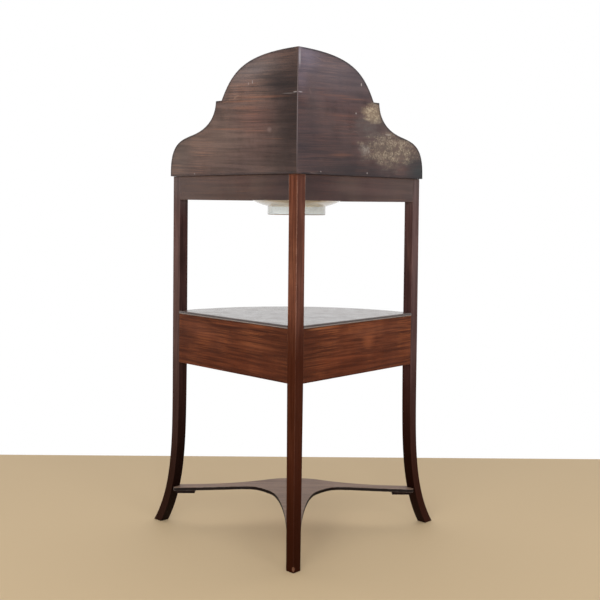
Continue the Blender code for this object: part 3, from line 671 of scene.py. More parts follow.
def pale_bloom(tree, place, centre, size, bloom_colour, amount, mottle):
    """Dried salts or dust: matt, ragged, and the more mottled the older it is."""
    patch(tree, place, centre, size, bloom_colour, amount, soft=0.7, ragged=0.42, mottle=mottle,
          roughness=0.8)


def blacken_outline(tree, place):
    """Old polish has gone black along the shaped edge, but not along the mitre."""
    mask = effect(tree, wear_group, vector=place, radius=edge_width, broken=0.15)["Mask"]
    off_mitre = fade(tree, separate(tree, place)["X"], *mitre_clear)
    paint(tree, maths(tree, "MULTIPLY", mask, off_mitre), grained(tree, *edge_black), 0.5)


def splash_finish(side, look):
    """Every layer of a board's back, in order. Y starts at the back, so that a mark soaks in from there."""
    material, tree, place = bare_wood("splash_" + side, side, *look["wood"], band=0.009, light_share=0.8,
                                      rough=(0.46, 0.6), rise=grain_rise, Specular_IOR_Level=0.25)
    parts = separate(tree, place)
    board_back = reach("splash_board_" + side, outward[side])[1]
    from_back = maths(tree, "SUBTRACT", maths(tree, "ABSOLUTE", parts["Y"]), board_back)
    place = combine(tree, parts["X"], from_back, parts["Z"])
    grain_place = slanted(tree, place, grain_rise)
    for kind, layer, layer_place in (
            ("dust", settle_dust, place), ("clouds", cloud, place), ("streaks", grain_line, grain_place),
            ("blooms", pale_bloom, place), ("shadows", cloud, place)):
        for values in look[kind]:
            layer(tree, layer_place, *values)
    for centre, size, mark_colour, amount, border in look["marks"]:
        patch(tree, place, centre, size, mark_colour, amount, **border)
    scratch(tree, place, *look["scratches"])
    blacken_outline(tree, place)
    return material


splash_woods = {side: splash_finish(side, look) for side, look in splash_looks.items()}
print("splash boards:", [wood.name for wood in splash_woods.values()])

# %% [markdown]
# ## Rails, posts and shelves
#
# The upper rails are as dull as the splash boards. The drawer case's sides still have their
# red-brown polish, with orange streaks, a lighter knot, painted shade next to the post and along
# the lower edge, and a painted highlight on the left side's top edge near the post. The back post
# is the reddest piece. All three legs are darker towards the floor, so one more layer darkens them
# by their height, and their sides get painted light and shade.

# %% Layers that follow a height or a direction
worn_pale = (0.36, 0.22, 0.16)
wear_and_highlight_orange = (0.42, 0.15, 0.06)


def grow_layer(tree, place, start, end, layer_colour, amount, faces=1.0):
    """A layer that grows from one height to another; place must lie upright, so X is the height."""
    height = maths(tree, "ABSOLUTE", separate(tree, place)["X"])
    ragged = maths(tree, "MULTIPLY", maths(tree, "SUBTRACT", noise(tree, place, 9.0, 3.0), 0.5), 0.12)
    layer = fade(tree, maths(tree, "ADD", height, ragged), start, end, 0.0, amount)
    paint(tree, maths(tree, "MULTIPLY", layer, faces), layer_colour)


def faces_towards(tree, direction):
    """1 on the faces that look this way, and 0 on those at right angles to them."""
    return fade(tree, measured(tree, "DOT_PRODUCT", face_normal(tree), direction), 0.3, 0.9)


def darken_sides(tree, side_colour, amount=0.95):
    """Paints only the faces that stand upright, such as the edge of a shelf."""
    upright = fade(tree, maths(tree, "ABSOLUTE", upwards(tree)), 0.8, 0.5, 0.0, amount)
    paint(tree, upright, side_colour, 0.5)


print("layers by height and by direction")

# %% Rails and the drawer case


def frieze_finish(side, seed, *tones):
    material, tree, place = bare_wood("frieze_" + side, side, seed, *tones, rough=(0.44, 0.56),
                                      Specular_IOR_Level=0.25)
    settle_dust(tree, place, seed, olive_dust, 0.3)
    cloud(tree, place, (0.40, 0.85), (0.26, 0.10), (0.098, 0.066, 0.060), 0.7)
    cloud(tree, place, (0.0, 0.85), (0.20, 0.15), (0.036, 0.021, 0.021), 0.85)
    patch(tree, place, (0.20, 0.815), (0.21, 0.010), (0.034, 0.022, 0.021), 0.5, soft=0.9)
    wear_arrises(tree, place, worn_pale, 0.3)
    return material


def case_finish(name, lie, seed, share=1.0):
    """The red-brown polish of the drawer case; a share above 1 makes it lighter."""
    tones = (0.050, 0.0125, 0.0058), (0.118, 0.0315, 0.0135), (0.240, 0.071, 0.026)
    tones = [[value * share for value in tone] for tone in tones]
    material, tree, place = bare_wood(name, lie, seed, *tones, band=0.006, light_share=0.7, sway=0.02,
                                      Specular_IOR_Level=0.08)
    settle_dust(tree, place, seed, dust_grey, 0.02)
    scratch(tree, place, seed, (0.26, 0.11, 0.06), 0.2)
    wear_arrises(tree, place, wear_and_highlight_orange, 0.35)
    return material, tree, place


def case_side_finish(side, seed, share):
    """The left side has a lighter knot in it, and a painted highlight along its top edge near the post."""
    material, tree, place = case_finish("case_" + side, side, seed, share)
    # painted shade next to the post
    cloud(tree, place, (0.0, 0.46), (0.15, 0.20), (0.045, 0.0120, 0.0060), 0.8)
    cloud(tree, place, (0.20, 0.430), (0.30, 0.045), (0.088, 0.0200, 0.0075), 0.6)
    # painted shade along the lower edge
    cloud(tree, place, (0.10, 0.400), (0.30, 0.030), (0.046, 0.0110, 0.0050), 0.7)
    if side == "left":
        # painted highlight along the top edge near the post
        patch(tree, place, (0.080, 0.5245), (0.060, 0.0035), wear_and_highlight_orange, 0.5, soft=0.9)
        cloud(tree, place, (0.17, 0.450), (0.13, 0.012), (0.150, 0.038, 0.015), 0.8)
        patch(tree, place, (0.240, 0.484), (0.030, 0.024), (0.24, 0.070, 0.028), 0.65, soft=1.0, ragged=0.25)
        cloud(tree, place, (0.27, 0.505), (0.17, 0.020), (0.165, 0.052, 0.025), 0.6)
    else:
        patch(tree, place, (0.13, 0.478), (0.11, 0.006), (0.200, 0.060, 0.025), 0.45, soft=0.9)
        cloud(tree, place, (0.32, 0.500), (0.12, 0.030), (0.135, 0.042, 0.021), 0.7)
    return material


frieze_woods = {
    "right": frieze_finish("right", 16.0, (0.054, 0.031, 0.028), (0.086, 0.048, 0.041), (0.14, 0.066, 0.046)),
    "left": frieze_finish("left", 12.0, (0.051, 0.029, 0.030), (0.078, 0.042, 0.041), (0.13, 0.058, 0.047)),
}
case_woods = {"right": case_side_finish("right", 28.0, 0.90), "left": case_side_finish("left", 24.0, 1.12)}
front_wood = case_finish("bow_front", "across", 61.0)[0]
upright_wood = case_finish("dividers", "upright", 63.0)[0]
print("rails:", len(frieze_woods) + len(case_woods), "finishes for the sides, and", front_wood.name)

# %% Legs and post
chip_place = corner + Vector((0, 0.0022, 0.009))  # a small bite is missing here from the post's arris
chip_size = 0.0060


def leg_finish(name, seed, gloss, tones, facing, painted_side_colour):
    """A leg's faces that look one way get a colour of their own: painted light and shade for that side."""
    material, tree, place = bare_wood(name, "upright", seed, *tones, band=0.008, Specular_IOR_Level=gloss)
    # painted light and shade: the faces that look this way take the side's colour
    outer = maths(tree, "MULTIPLY", faces_towards(tree, facing), 0.85)
    paint(tree, outer, grained(tree, *painted_side_colour))
    return material, tree, place


def front_leg_finish(side, seed, painted_outer_colour, inner_share, foot_colour):
    tones = (0.024, 0.011, 0.010), (0.050, 0.023, 0.021), (0.090, 0.040, 0.032)
    tones = [tuple(value * inner_share for value in tone) for tone in tones]
    material, tree, place = leg_finish("leg_" + side, seed, 0.04, tones, outward[side], painted_outer_colour)
    settle_dust(tree, place, seed, dust_grey, 0.02)
    grow_layer(tree, place, 0.76, 0.86, grained(tree, 0.108, 0.080, 0.077), 0.85)
    wear_arrises(tree, place, (0.26, 0.15, 0.12), 0.25)
    grow_layer(tree, place, 0.78, 0.10, foot_colour, 0.94)
    # painted shade on the inner faces, growing towards the floor
    inner = maths(tree, "SUBTRACT", 1.0, faces_towards(tree, outward[side]))
    grow_layer(tree, place, 0.42, 0.12, (0.0020, 0.0008, 0.0006), 0.70, inner)
    return material


def post_finish():
    tones = (0.072, 0.023, 0.013), (0.145, 0.049, 0.028), (0.30, 0.112, 0.060)
    material, tree, place = leg_finish("post", 41.0, 0.02, tones, outward["left"], (0.103, 0.041, 0.030))
    wear_arrises(tree, place, (0.46, 0.25, 0.18), 0.7, broken=0.6)
    grow_layer(tree, place, 0.615, 0.455, (0.034, 0.0060, 0.0012), 0.84)
    grow_layer(tree, place, 0.30, 0.0, (0.014, 0.0022, 0.0004), 0.70)
    from_chip = measured(tree, "DISTANCE", object_place(tree), chip_place)
    in_chip = fade(tree, from_chip, chip_size + 0.0004, chip_size - 0.0002)
    paint(tree, in_chip, (0.115, 0.050, 0.028), 0.8)
    return material


leg_woods = {
    "right": front_leg_finish("right", 35.0, (0.123, 0.068, 0.060), 1.12, (0.0150, 0.0030, 0.0010)),
    "left": front_leg_finish("left", 33.0, (0.124, 0.073, 0.071), 1.38, (0.0230, 0.0034, 0.0007)),
}
post_wood = post_finish()
print("legs:", [wood.name for wood in (*leg_woods.values(), post_wood)])

# %% Shelves, stretcher and cleats


def shelf_finish(name, seed, coat, gloss, *tones):
    """A flat board with a wax coat that dust has dulled in places; a coat of 0 leaves it bare."""
    material, tree, place = bare_wood(name, "across", seed, *tones, band=0.018, rough=(0.30, 0.40),
                                      Coat_Weight=coat, Coat_Roughness=0.16, Specular_IOR_Level=gloss)
    if coat:
        dulled = effect(tree, dust_group, vector=place, seed=seed + 3, cloud_size=0.03)["Cloud"]
        weight = fade(tree, dulled, 0.0, 1.0, coat + 0.08, coat - 0.14)
        tree.links.new(weight, tree.nodes["Principled BSDF"].inputs["Coat Weight"])
    settle_dust(tree, place, seed, dust_grey, 0.25, 0.04)
    return material, tree, place


def top_finish():
    tones = (0.060, 0.020, 0.012), (0.125, 0.044, 0.024), (0.23, 0.085, 0.045)
    material, tree, place = shelf_finish("top_polish", 66.0, 0.5, 0.5, *tones)
    wear_arrises(tree, place, worn_pale, 0.3)
    return material


def middle_shelf_finish():
    """Its edge has painted shade, black in the upper half, and a painted reflection, a grey line in the lower
    half.
    """
    tones = (0.058, 0.032, 0.026), (0.100, 0.056, 0.042), (0.16, 0.092, 0.066)
    material, tree, place = shelf_finish("middle_shelf_polish", 51.0, 0.75, 0.5, *tones)
    # painted shade: the whole edge goes black
    darken_sides(tree, (0.030, 0.022, 0.024))
    # painted reflection: a grey line along the lower half of the edge
    edge_height = (level("middle_shelf") + level("middle_shelf", top=True)) / 2
    height = separate(tree, place)["Z"]
    lower_half = fade(tree, height, edge_height - 0.0022, edge_height + 0.0004, 1.0, 0.0)
    edge = fade(tree, upwards(tree), 0.5, 0.3, 0.0, 0.85)
    paint(tree, maths(tree, "MULTIPLY", lower_half, edge), (0.29, 0.25, 0.245), 0.4)
    return material


def stretcher_finish():
    tones = (0.178, 0.099, 0.062), (0.270, 0.161, 0.106), (0.375, 0.236, 0.168)
    material, tree, place = shelf_finish("stretcher_polish", 57.0, 0.0, 0.08, *tones)
    darken_sides(tree, (0.0035, 0.0014, 0.0010), 0.98)
    # worn arrises with a painted highlight on them, a light line from the window
    wear_arrises(tree, place, (0.40, 0.32, 0.29), 0.45)
    return material


def cleat_finish():
    """Never polished, and black with age."""
    tones = (0.0050, 0.0018, 0.0014), (0.0085, 0.0032, 0.0024), (0.020, 0.008, 0.006)
    material, tree, place = bare_wood("cleat_wood", "across", 83.0, *tones, Specular_IOR_Level=0.05)
    wear_arrises(tree, place, (0.05, 0.03, 0.025), 0.4)
    return material


top_wood = top_finish()
shelf_wood = middle_shelf_finish()
stretcher_wood = stretcher_finish()
cleat_wood = cleat_finish()
print("boards:", [wood.name for wood in (top_wood, shelf_wood, stretcher_wood, cleat_wood)])

# %% [markdown]
# ## Drawer lining, glaze and metals
#
# The drawer's sides and bottom are plain softwood, grey where hands and dust got to them. The
# basin's glaze is cream, with hair-fine crazing: Voronoi cell borders, shown in parts only. The
# knobs are brass that is bright where it is touched and brown in the hollows.

# %% Plain finishes


def lining_finish(name, lie, seed):
    deep, body, light = (0.24, 0.13, 0.06), (0.42, 0.26, 0.13), (0.55, 0.38, 0.21)
    material, tree, place = bare_wood(name, lie, seed, deep, body, light, band=0.007, rough=(0.6, 0.75))
    settle_dust(tree, place, seed, (0.20, 0.15, 0.10), 0.35)
    wear_arrises(tree, place, (0.22, 0.15, 0.09), 0.4)
    return material


window_band_height = 0.021  # from the foot's underside up to here, the glaze gets a painted reflection of the window, bluish white
wiped_height = 0.0016  # and up to here it was wiped off


def glaze_finish():
    """White earthenware, bare under its foot, with hair-fine crazing and specks; painted shade makes the
    faces that look down darker and creamier, and a painted reflection of the window makes the foot bluish
    white.
    """
    material, tree, shader, place = start_finish("glaze", Coat_Weight=0.5, Coat_Roughness=0.05)
    masks = effect(tree, dust_group, vector=place, seed=4.0, cloud_size=0.06)
    inside = mix(tree, masks["Cloud"], colour(0.84, 0.83, 0.79), colour(0.80, 0.78, 0.73))
    # painted shade: the faces that look down are darker and creamier
    shaded_outside = mix(tree, masks["Cloud"], colour(0.60, 0.56, 0.48), colour(0.55, 0.51, 0.42))
    tone = mix(tree, fade(tree, upwards(tree), -0.05, 0.05), shaded_outside, inside)
    height = maths(tree, "SUBTRACT", separate(tree, place)["Z"], level("wash_basin"))
    # painted reflection of the window: bluish white up the foot
    window_reflection = fade(tree, height, window_band_height, window_band_height - 0.003)
    tone = mix(tree, window_reflection, tone, colour(0.84, 0.92, 0.97))
    wiped = fade(tree, height, wiped_height + 0.0006, wiped_height)
    tone = mix(tree, wiped, tone, colour(0.30, 0.235, 0.18))
    lines = cell_borders(tree, place, 95.0, 0.035)
    crazed = maths(tree, "MULTIPLY", lines, fade(tree, noise(tree, place, 14.0), 0.45, 0.6))
    tone = mix(tree, maths(tree, "MULTIPLY", crazed, 0.22), tone, colour(0.45, 0.38, 0.28))
    tone = mix(tree, maths(tree, "MULTIPLY", masks["Speck"], 0.2), tone, colour(0.30, 0.25, 0.20))
    tree.links.new(tone, shader.inputs["Base Color"])
    tree.links.new(fade(tree, masks["Cloud"], 0.0, 1.0, 0.09, 0.18), shader.inputs["Roughness"])
    return material


def metal_finish(name, bright, tarnish, rough):
    """Metal that is bright on its touched edges, and tarnished and rougher in clouds."""
    material, tree, shader, place = start_finish(name, Metallic=1.0)
    masks = effect(tree, dust_group, vector=place, seed=9.0, cloud_size=0.006)
    tree.links.new(mix(tree, masks["Cloud"], colour(*bright), colour(*tarnish)), shader.inputs["Base Color"])
    tree.links.new(fade(tree, masks["Cloud"], 0.0, 1.0, rough, rough + 0.25), shader.inputs["Roughness"])
    paint(tree, effect(tree, wear_group, vector=place, radius=0.001)["Mask"], bright, rough)
    return material


linings = {lie: lining_finish("lining_" + lie, lie, 71.0 + index) for index, lie in enumerate(lies)}
brass = metal_finish("old_brass", (0.62, 0.43, 0.18), (0.24, 0.15, 0.06), 0.22)
iron = metal_finish("dull_iron", (0.34, 0.30, 0.27), (0.10, 0.075, 0.06), 0.5)
glaze = glaze_finish()
print("plain finishes:", brass.name, iron.name, glaze.name, "and", len(linings), "linings")

# %% [markdown]
# ## From a solid to a piece of joinery
#
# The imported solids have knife-sharp arrises. A real arris is rounded by sandpaper and by two
# hundred years of dusters, and that thin rounded line is what catches the light. So a piece
# starts as a copy of its solid, with its triangles merged back into plain faces, and a Bevel
# modifier rounds every long, sharp edge. Its normals are hardened, so flat faces stay flat.

# %% Helpers that round, place and hand over a piece
sharp_angle = math.radians(32)
weld_distance = 0.00001
flat_angle = math.radians(0.1)  # less than the kink where the back post starts to taper


def show(name, mesh):
    """Puts a mesh in the scene, at the origin."""
    piece = bpy.data.objects.new(name, mesh)
    scene.collection.objects.link(piece)
    return piece


def taken(piece):
    """Takes a piece out of the scene and gives its name and its mesh."""
    name, mesh = piece.name, piece.data
    bpy.data.objects.remove(piece)
    return name, mesh


def settled(worker):
    """Applies a worker's modifiers: a plain object with the same name takes its place."""
    graph = bpy.context.evaluated_depsgraph_get()
    shaped = worker.evaluated_get(graph)
    mesh = bpy.data.meshes.new_from_object(shaped, preserve_all_data_layers=True, depsgraph=graph)
    return show(taken(worker)[0], mesh)


def rounded(name, mesh, radius, segments=2, shortest=0.0015):
    """Rounds the long, sharp arrises of a mesh and returns it as a piece."""
    shape = bmesh.new()
    shape.from_mesh(mesh)
    bmesh.ops.remove_doubles(shape, verts=shape.verts, dist=weld_distance)
    bmesh.ops.recalc_face_normals(shape, faces=shape.faces)
    bmesh.ops.dissolve_limit(shape, angle_limit=flat_angle, verts=shape.verts, edges=shape.edges)
    weight = shape.edges.layers.float.new("bevel_weight_edge")
    for edge in shape.edges:
        sharp = len(edge.link_faces) == 2 and edge.calc_face_angle() > sharp_angle
        edge[weight] = float(sharp and edge.calc_length() > shortest)
    merged = bpy.data.meshes.new(name)
    shape.to_mesh(merged)
    shape.free()
    merged.shade_smooth()
    merged.set_sharp_from_angle(angle=sharp_angle)
    worker = show(name, merged)
    bevel = worker.modifiers.new("arrises", "BEVEL")
    bevel.limit_method = "WEIGHT"
    bevel.width = radius
    bevel.segments = segments
    bevel.harden_normals = True
    return settled(worker)


def hand_over(piece, material, *stands_for, body="stand"):
    """Gives a piece its finish and its body, and hides the nodes that it stands for."""
    piece.data.materials.clear()
    piece.data.materials.append(material)
    if stands_for:
        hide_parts(*stands_for)
    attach(piece, body)
    print(piece.name, len(piece.data.polygons), "faces, on the", body)


plain_arris = 0.0008  # the radius that sandpaper and wear gave most arrises


def dress(node, material, radius=plain_arris, segments=2):
    """Makes a rounded piece from a node's own solid."""
    piece = rounded("finished_" + node, nodes[node].data, radius, segments)
    hand_over(piece, material, node, body=nodes[node]["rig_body"])


print("an edge sharper than", round(math.degrees(sharp_angle)), "degrees gets rounded")

# %% [markdown]
# ## Legs by a rule
#
# All three legs follow one rule, so one geometry tree makes them. A leg is a square stick. Below
# the drawer case it gets slimmer, and the two front legs also sweep outwards, slowly at first and
# then faster, as a power of how far down one is. The tree bends a box that has many slices. The
# back post is the same leg without the sweep.

# %% The leg tree


def position(tree):
    return tree.nodes.new("GeometryNodeInputPosition").outputs[0]


def finish_tree(tree, geometry, given, result):
    """Ends a geometry tree: instances become real, and faces get their material."""
    real = add(tree, "GeometryNodeRealizeInstances", {"Geometry": geometry}).outputs[0]
    done = add(tree, "GeometryNodeSetMaterial", {"Geometry": real, "Material": given["Material"]}).outputs[0]
    tree.links.new(done, result["Geometry"])
    return tree


def make_leg_tree():
    tree, given, result = new_shape("square leg", {
        "Corner": (0.0, 0.0, 0.0), "Along": (1.0, 0.0, 0.0), "Inward": (0.0, 1.0, 0.0), "Height": 0.86,
        "Bend height": 0.4, "Reach": 0.425, "Size": 0.025, "Foot width": 0.0215, "Foot depth": 0.0246,
        "Sweep": 0.0718, "Power": 4.1, "Slices": 64,
    })
    stick = add(tree, "GeometryNodeMeshCube", {"Vertices Z": given["Slices"]}).outputs[0]
    unit = separate(tree, vectors(tree, "ADD", position(tree), (0.5, 0.5, 0.5)))
    height = maths(tree, "MULTIPLY", unit["Z"], given["Height"])
    below_bend = maths(tree, "SUBTRACT", given["Bend height"], height)
    fall = maths(tree, "MAXIMUM", maths(tree, "DIVIDE", below_bend, given["Bend height"]), 0.0)

    def tapered(foot_size):
        """The stick's size where the fall is 0, and the foot's size where it is 1."""
        change = maths(tree, "SUBTRACT", given[foot_size], given["Size"])
        return maths(tree, "MULTIPLY_ADD", change, fall, given["Size"])

    swept = maths(tree, "POWER", fall, given["Power"])
    outer = maths(tree, "MULTIPLY_ADD", given["Sweep"], swept, given["Reach"])
    steepness = maths(tree, "DIVIDE", given["Sweep"], given["Bend height"])
    steepness = maths(tree, "MULTIPLY", steepness, given["Power"])
    less_power = maths(tree, "SUBTRACT", given["Power"], 1.0)
    slope = maths(tree, "MULTIPLY", steepness, maths(tree, "POWER", fall, less_power))
    stretch = maths(tree, "SQRT", maths(tree, "MULTIPLY_ADD", slope, slope, 1.0))
    width = maths(tree, "MULTIPLY", tapered("Foot width"), stretch)
    inner = maths(tree, "MULTIPLY", width, maths(tree, "SUBTRACT", unit["X"], 1.0))
    inward = maths(tree, "MULTIPLY", tapered("Foot depth"), unit["Y"])
    place = vectors(tree, "ADD", given["Corner"], combine(tree, 0.0, 0.0, height))
    place = vectors(tree, "ADD", place, scaled(tree, given["Along"], maths(tree, "ADD", outer, inner)))
    place = vectors(tree, "ADD", place, scaled(tree, given["Inward"], inward))
    bent = add(tree, "GeometryNodeSetPosition", {"Geometry": stick, "Position": place}).outputs[0]
    return finish_tree(tree, bent, given, result)


def grown(name, tree, sizes, start=None):
    """Runs a geometry tree with these sizes and gives its result as a plain piece."""
    worker = show(name, start or bpy.data.meshes.new(name))
    modifier = worker.modifiers.new("shape", "NODES")
    modifier.node_group = tree
    for item in tree.interface.items_tree:
        if item.in_out == "INPUT" and item.name in sizes:
            modifier[item.identifier] = sizes[item.name]
    return settled(worker)


leg_tree = make_leg_tree()
print("leg tree:", len(leg_tree.nodes), "nodes")

# %% Two swept front legs
leg_size = 0.025
side_length = 0.425  # from the back post's arris to a front leg's end face
sweep_start_share = 0.9775  # of the height of the case's underside
leg_arris = 0.0007
case_bottom = level("case_rail_right")
stick_sizes = {"Corner": tuple(corner), "Height": level("front_leg_right", top=True), "Size": leg_size}
swept_sizes = {
    **stick_sizes, "Reach": side_length, "Bend height": case_bottom * sweep_start_share,
    "Foot width": 0.0215, "Foot depth": 0.0246, "Sweep": 0.0718, "Power": 4.1,
}

for side, wood in leg_woods.items():
    directions = {"Along": tuple(along[side]), "Inward": tuple(-outward[side])}
    leg = grown("finished_front_leg_" + side, leg_tree, {**swept_sizes, **directions, "Material": wood})
    hand_over(rounded(*taken(leg), leg_arris), wood, "front_leg_" + side)

# %% [markdown]
# ## The back post and its chipped foot
#
# The post is nearest to the camera, so a reader's eye goes there first. A small chip is missing
# from its arris just above the floor. A Boolean modifier takes that bite out with a rough ball,
# and a patch in the finish shows the paler wood in it.

# %% The back post
post_foot = 0.0223
post = grown("finished_back_post", leg_tree, {
    **stick_sizes, "Along": tuple(-along["right"]), "Inward": tuple(-outward["right"]), "Reach": 0.0,
    "Bend height": case_bottom, "Foot width": post_foot, "Foot depth": post_foot, "Sweep": 0.0,
    "Material": post_wood,
})
post = rounded(*taken(post), leg_arris)


def cut_with(worker, shape):
    """Cuts a shape that was made in bmesh out of a worker."""
    mesh = bpy.data.meshes.new("cutter")
    shape.to_mesh(mesh)
    shape.free()
    cutter = show("cutter", mesh)
    boolean = worker.modifiers.new("cut", "BOOLEAN")
    boolean.object = cutter
    boolean.solver = "EXACT"
    result = settled(worker)
    bpy.data.objects.remove(cutter)
    return result


chip = bmesh.new()
bmesh.ops.create_icosphere(chip, subdivisions=2, radius=chip_size, matrix=Matrix.Translation(chip_place))
post = cut_with(post, chip)
hand_over(post, post_wood, "back_post")

# %% [markdown]
# ## Splash boards
#
# Each board has a shoulder, a hollow neck, a small step and half of the big arch. The outline is
# three cubic curves, with straight lines for the step and the edges. Their points are shares of
# the board's length and height, so the shape stays right at any size. The two boards meet in a
# mitre, so the outer face is longer than the inner one, and a board is a loft between the two.

# %% Two mitred boards
arch_shares = ((0, 1), (0.371, 1), (0.4755, 0.885), (0.561, 0.6376))
neck_shares = ((0.608, 0.6376), (0.612, 0.516), (0.661, 0.4105), (0.8024, 0.3612))
shoulder_shares = ((0.8024, 0.3612), (0.9024, 0.3265), (1, 0.3037), (1, 0.0418))
splash_steps = 22
splash_arris = 0.0007
mitre_overlap = 0.0001


def curve(points, steps):
    """Points on a cubic curve."""
    result = []
    for index in range(steps + 1):
        t = index / steps
        weights = ((1 - t) ** 3, 3 * (1 - t) ** 2 * t, 3 * (1 - t) * t ** 2, t ** 3)
        result.append(tuple(sum(weight * value for weight, value in zip(weights, values))
                            for values in zip(*points)))
    return result


def loft(name, rings):
    """A closed mesh through rings that have the same number of points."""
    count = len(rings[0])
    faces = [tuple(range(count)), tuple(range((len(rings) - 1) * count, len(rings) * count))]
    for ring in range(len(rings) - 1):
        for index in range(count):
            following = (index + 1) % count
            low = ring * count
            faces.append((low + index, low + following, low + count + following, low + count + index))
    mesh = bpy.data.meshes.new(name)
    mesh.from_pydata([point for ring in rings for point in ring], [], faces)
    return mesh


def splash_outline(start, run, rise):
    """The board's face from its lower corner: up over the shoulder, the neck and the arch."""
    shares = curve(shoulder_shares[::-1], splash_steps) + curve(neck_shares[::-1], splash_steps)[1:]
    shares += curve(arch_shares[::-1], splash_steps)[:-1]
    return [(start, 0), (run, 0)] + [(share * run, up * rise) for share, up in shares] + [(start, rise)]


for side in hands:
    node = "splash_board_" + side
    faces = reach(node, outward[side])
    run = reach(node, along[side])[1]
    bottom, rise = level(node), level(node, top=True) - level(node)
    rings = []
    for face in faces:
        outline = splash_outline(-face - mitre_overlap, run, rise)
        rings.append([side_place(side, place, -face, bottom + up) for place, up in outline])
    hand_over(rounded("finished_" + node, loft(node, rings), splash_arris), splash_woods[side], node)

# %% [markdown]
# ## Rails, shelves, drawer and the wood behind them
#
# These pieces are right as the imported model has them, apart from their arrises and finish. Each
# one takes the finish whose grain lies the way that its wood does: rails run along their side,
# the bow front runs across, and a drawer's sides run from front to back.

# %% Pieces that keep their solid's shape
thin_arris = 0.0005
front_arris = 0.0006
block_arris = 0.0012
stretcher_arris = 0.0018

for side in hands:
    dress("top_rail_" + side, frieze_woods[side])
    dress("case_rail_" + side, case_woods[side])
    dress("case_divider_" + side, upright_wood)
    dress("dummy_front_" + side, front_wood, thin_arris)
    dress("stretcher_cleat_" + side, cleat_wood)
    for part in ("side", "guide", "runner"):
        dress("_".join(("drawer", part, side)), linings["deep"])
    dress("drawer_stop_" + side, linings["across"], thin_arris)
    for place in ("fore", "rear"):
        for tier in ("top", "case"):
            dress("_".join((tier, "block", side, place)), linings[side], block_arris)
for node in ("top_rail_front", "case_rail_upper", "case_rail_lower"):
    dress(node, front_wood)
dress("drawer_front", front_wood, front_arris)
dress("drawer_back", linings["across"])
dress("drawer_bottom", linings["across"], thin_arris)
dress("corner_shelf", top_wood)
dress("middle_shelf", shelf_wood, front_arris)
dress("stretcher", stretcher_wood, stretcher_arris, 3)

# %% [markdown]
# ## The top board
#
# The basin hangs through a large round hole, and two small holes hold cups or soap dishes. Seen
# from above, this is the finest part of the stand, so the bow edge gets a proper rounded nose and
# the holes are really round. The board is a loft through nine outlines, each set back a little
# as a half circle does, and Boolean modifiers cut the holes.

# %% The top board with its rounded nose
nose_steps = 8
bow_steps = 72


def nosed_board(node, radius):
    """A quadrant board whose bow edge is a shallow half round."""
    bottom, top = level(node), level(node, top=True)
    nose = (top - bottom) / 4
    angles = [math.pi / 4 * (2 * index / bow_steps - 1) for index in range(bow_steps + 1)]
    rings = []
    for step in range(nose_steps + 1):
        turn = math.pi * step / nose_steps
        setback = nose * (1 - math.sin(turn))
        height = (bottom + top) / 2 - (top - bottom) / 2 * math.cos(turn)
        edge = [bow_place(radius - setback, angle, height) for angle in angles]
        rings.append([corner + Vector((0, 0, height)), *edge])
    return loft(node, rings)


top_radius = reach("top_board", forward)[1]
top = show("finished_top_board", nosed_board("top_board", top_radius))
print("the top board reaches", round(top_radius, 4), "m from the corner")

# %% Its three holes
hole_segments = 96
board_arris = 0.0012
cup_hole_radius = 0.030
cup_hole_aside = 0.2087
cup_hole_y = -0.0737
basin_low, basin_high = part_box("wash_basin")
basin_centre = centre_of("wash_basin")
basin_rim_radius = (basin_high.x - basin_low.x) / 2
basin_body_share = 0.93
basin_hole_gap = 0.0015


def round_cutter(x, y, radius, node):
    """A drum that passes through a node, for cutting a round hole."""
    height = level(node, top=True) - level(node)
    place = Matrix.Translation((x, y, level(node) + height / 2))
    drum = bmesh.new()
    bmesh.ops.create_cone(drum, cap_ends=True, segments=hole_segments, radius1=radius, radius2=radius,
                          depth=height * 2, matrix=place)
    return drum


holes = [(basin_centre.x, basin_centre.y, basin_rim_radius * basin_body_share + basin_hole_gap)]
holes += [(hand * cup_hole_aside, cup_hole_y, cup_hole_radius) for hand in hands.values()]
for x, y, radius in holes:
    top = cut_with(top, round_cutter(x, y, radius, "top_board"))
hand_over(rounded(*taken(top), board_arris, 3), top_wood, "top_board")

# %% [markdown]
# ## Turned pieces
#
# A basin is thrown on a wheel and a knob is turned on a lathe, so both are one profile taken
# round an axis. One geometry tree does it: a grid with a column for each point of the profile and
# a row for each step of the turn. Sample Index fetches the profile's point for a column, and the
# seam and the poles are closed by merging what lies in the same place.

# %% The lathe tree


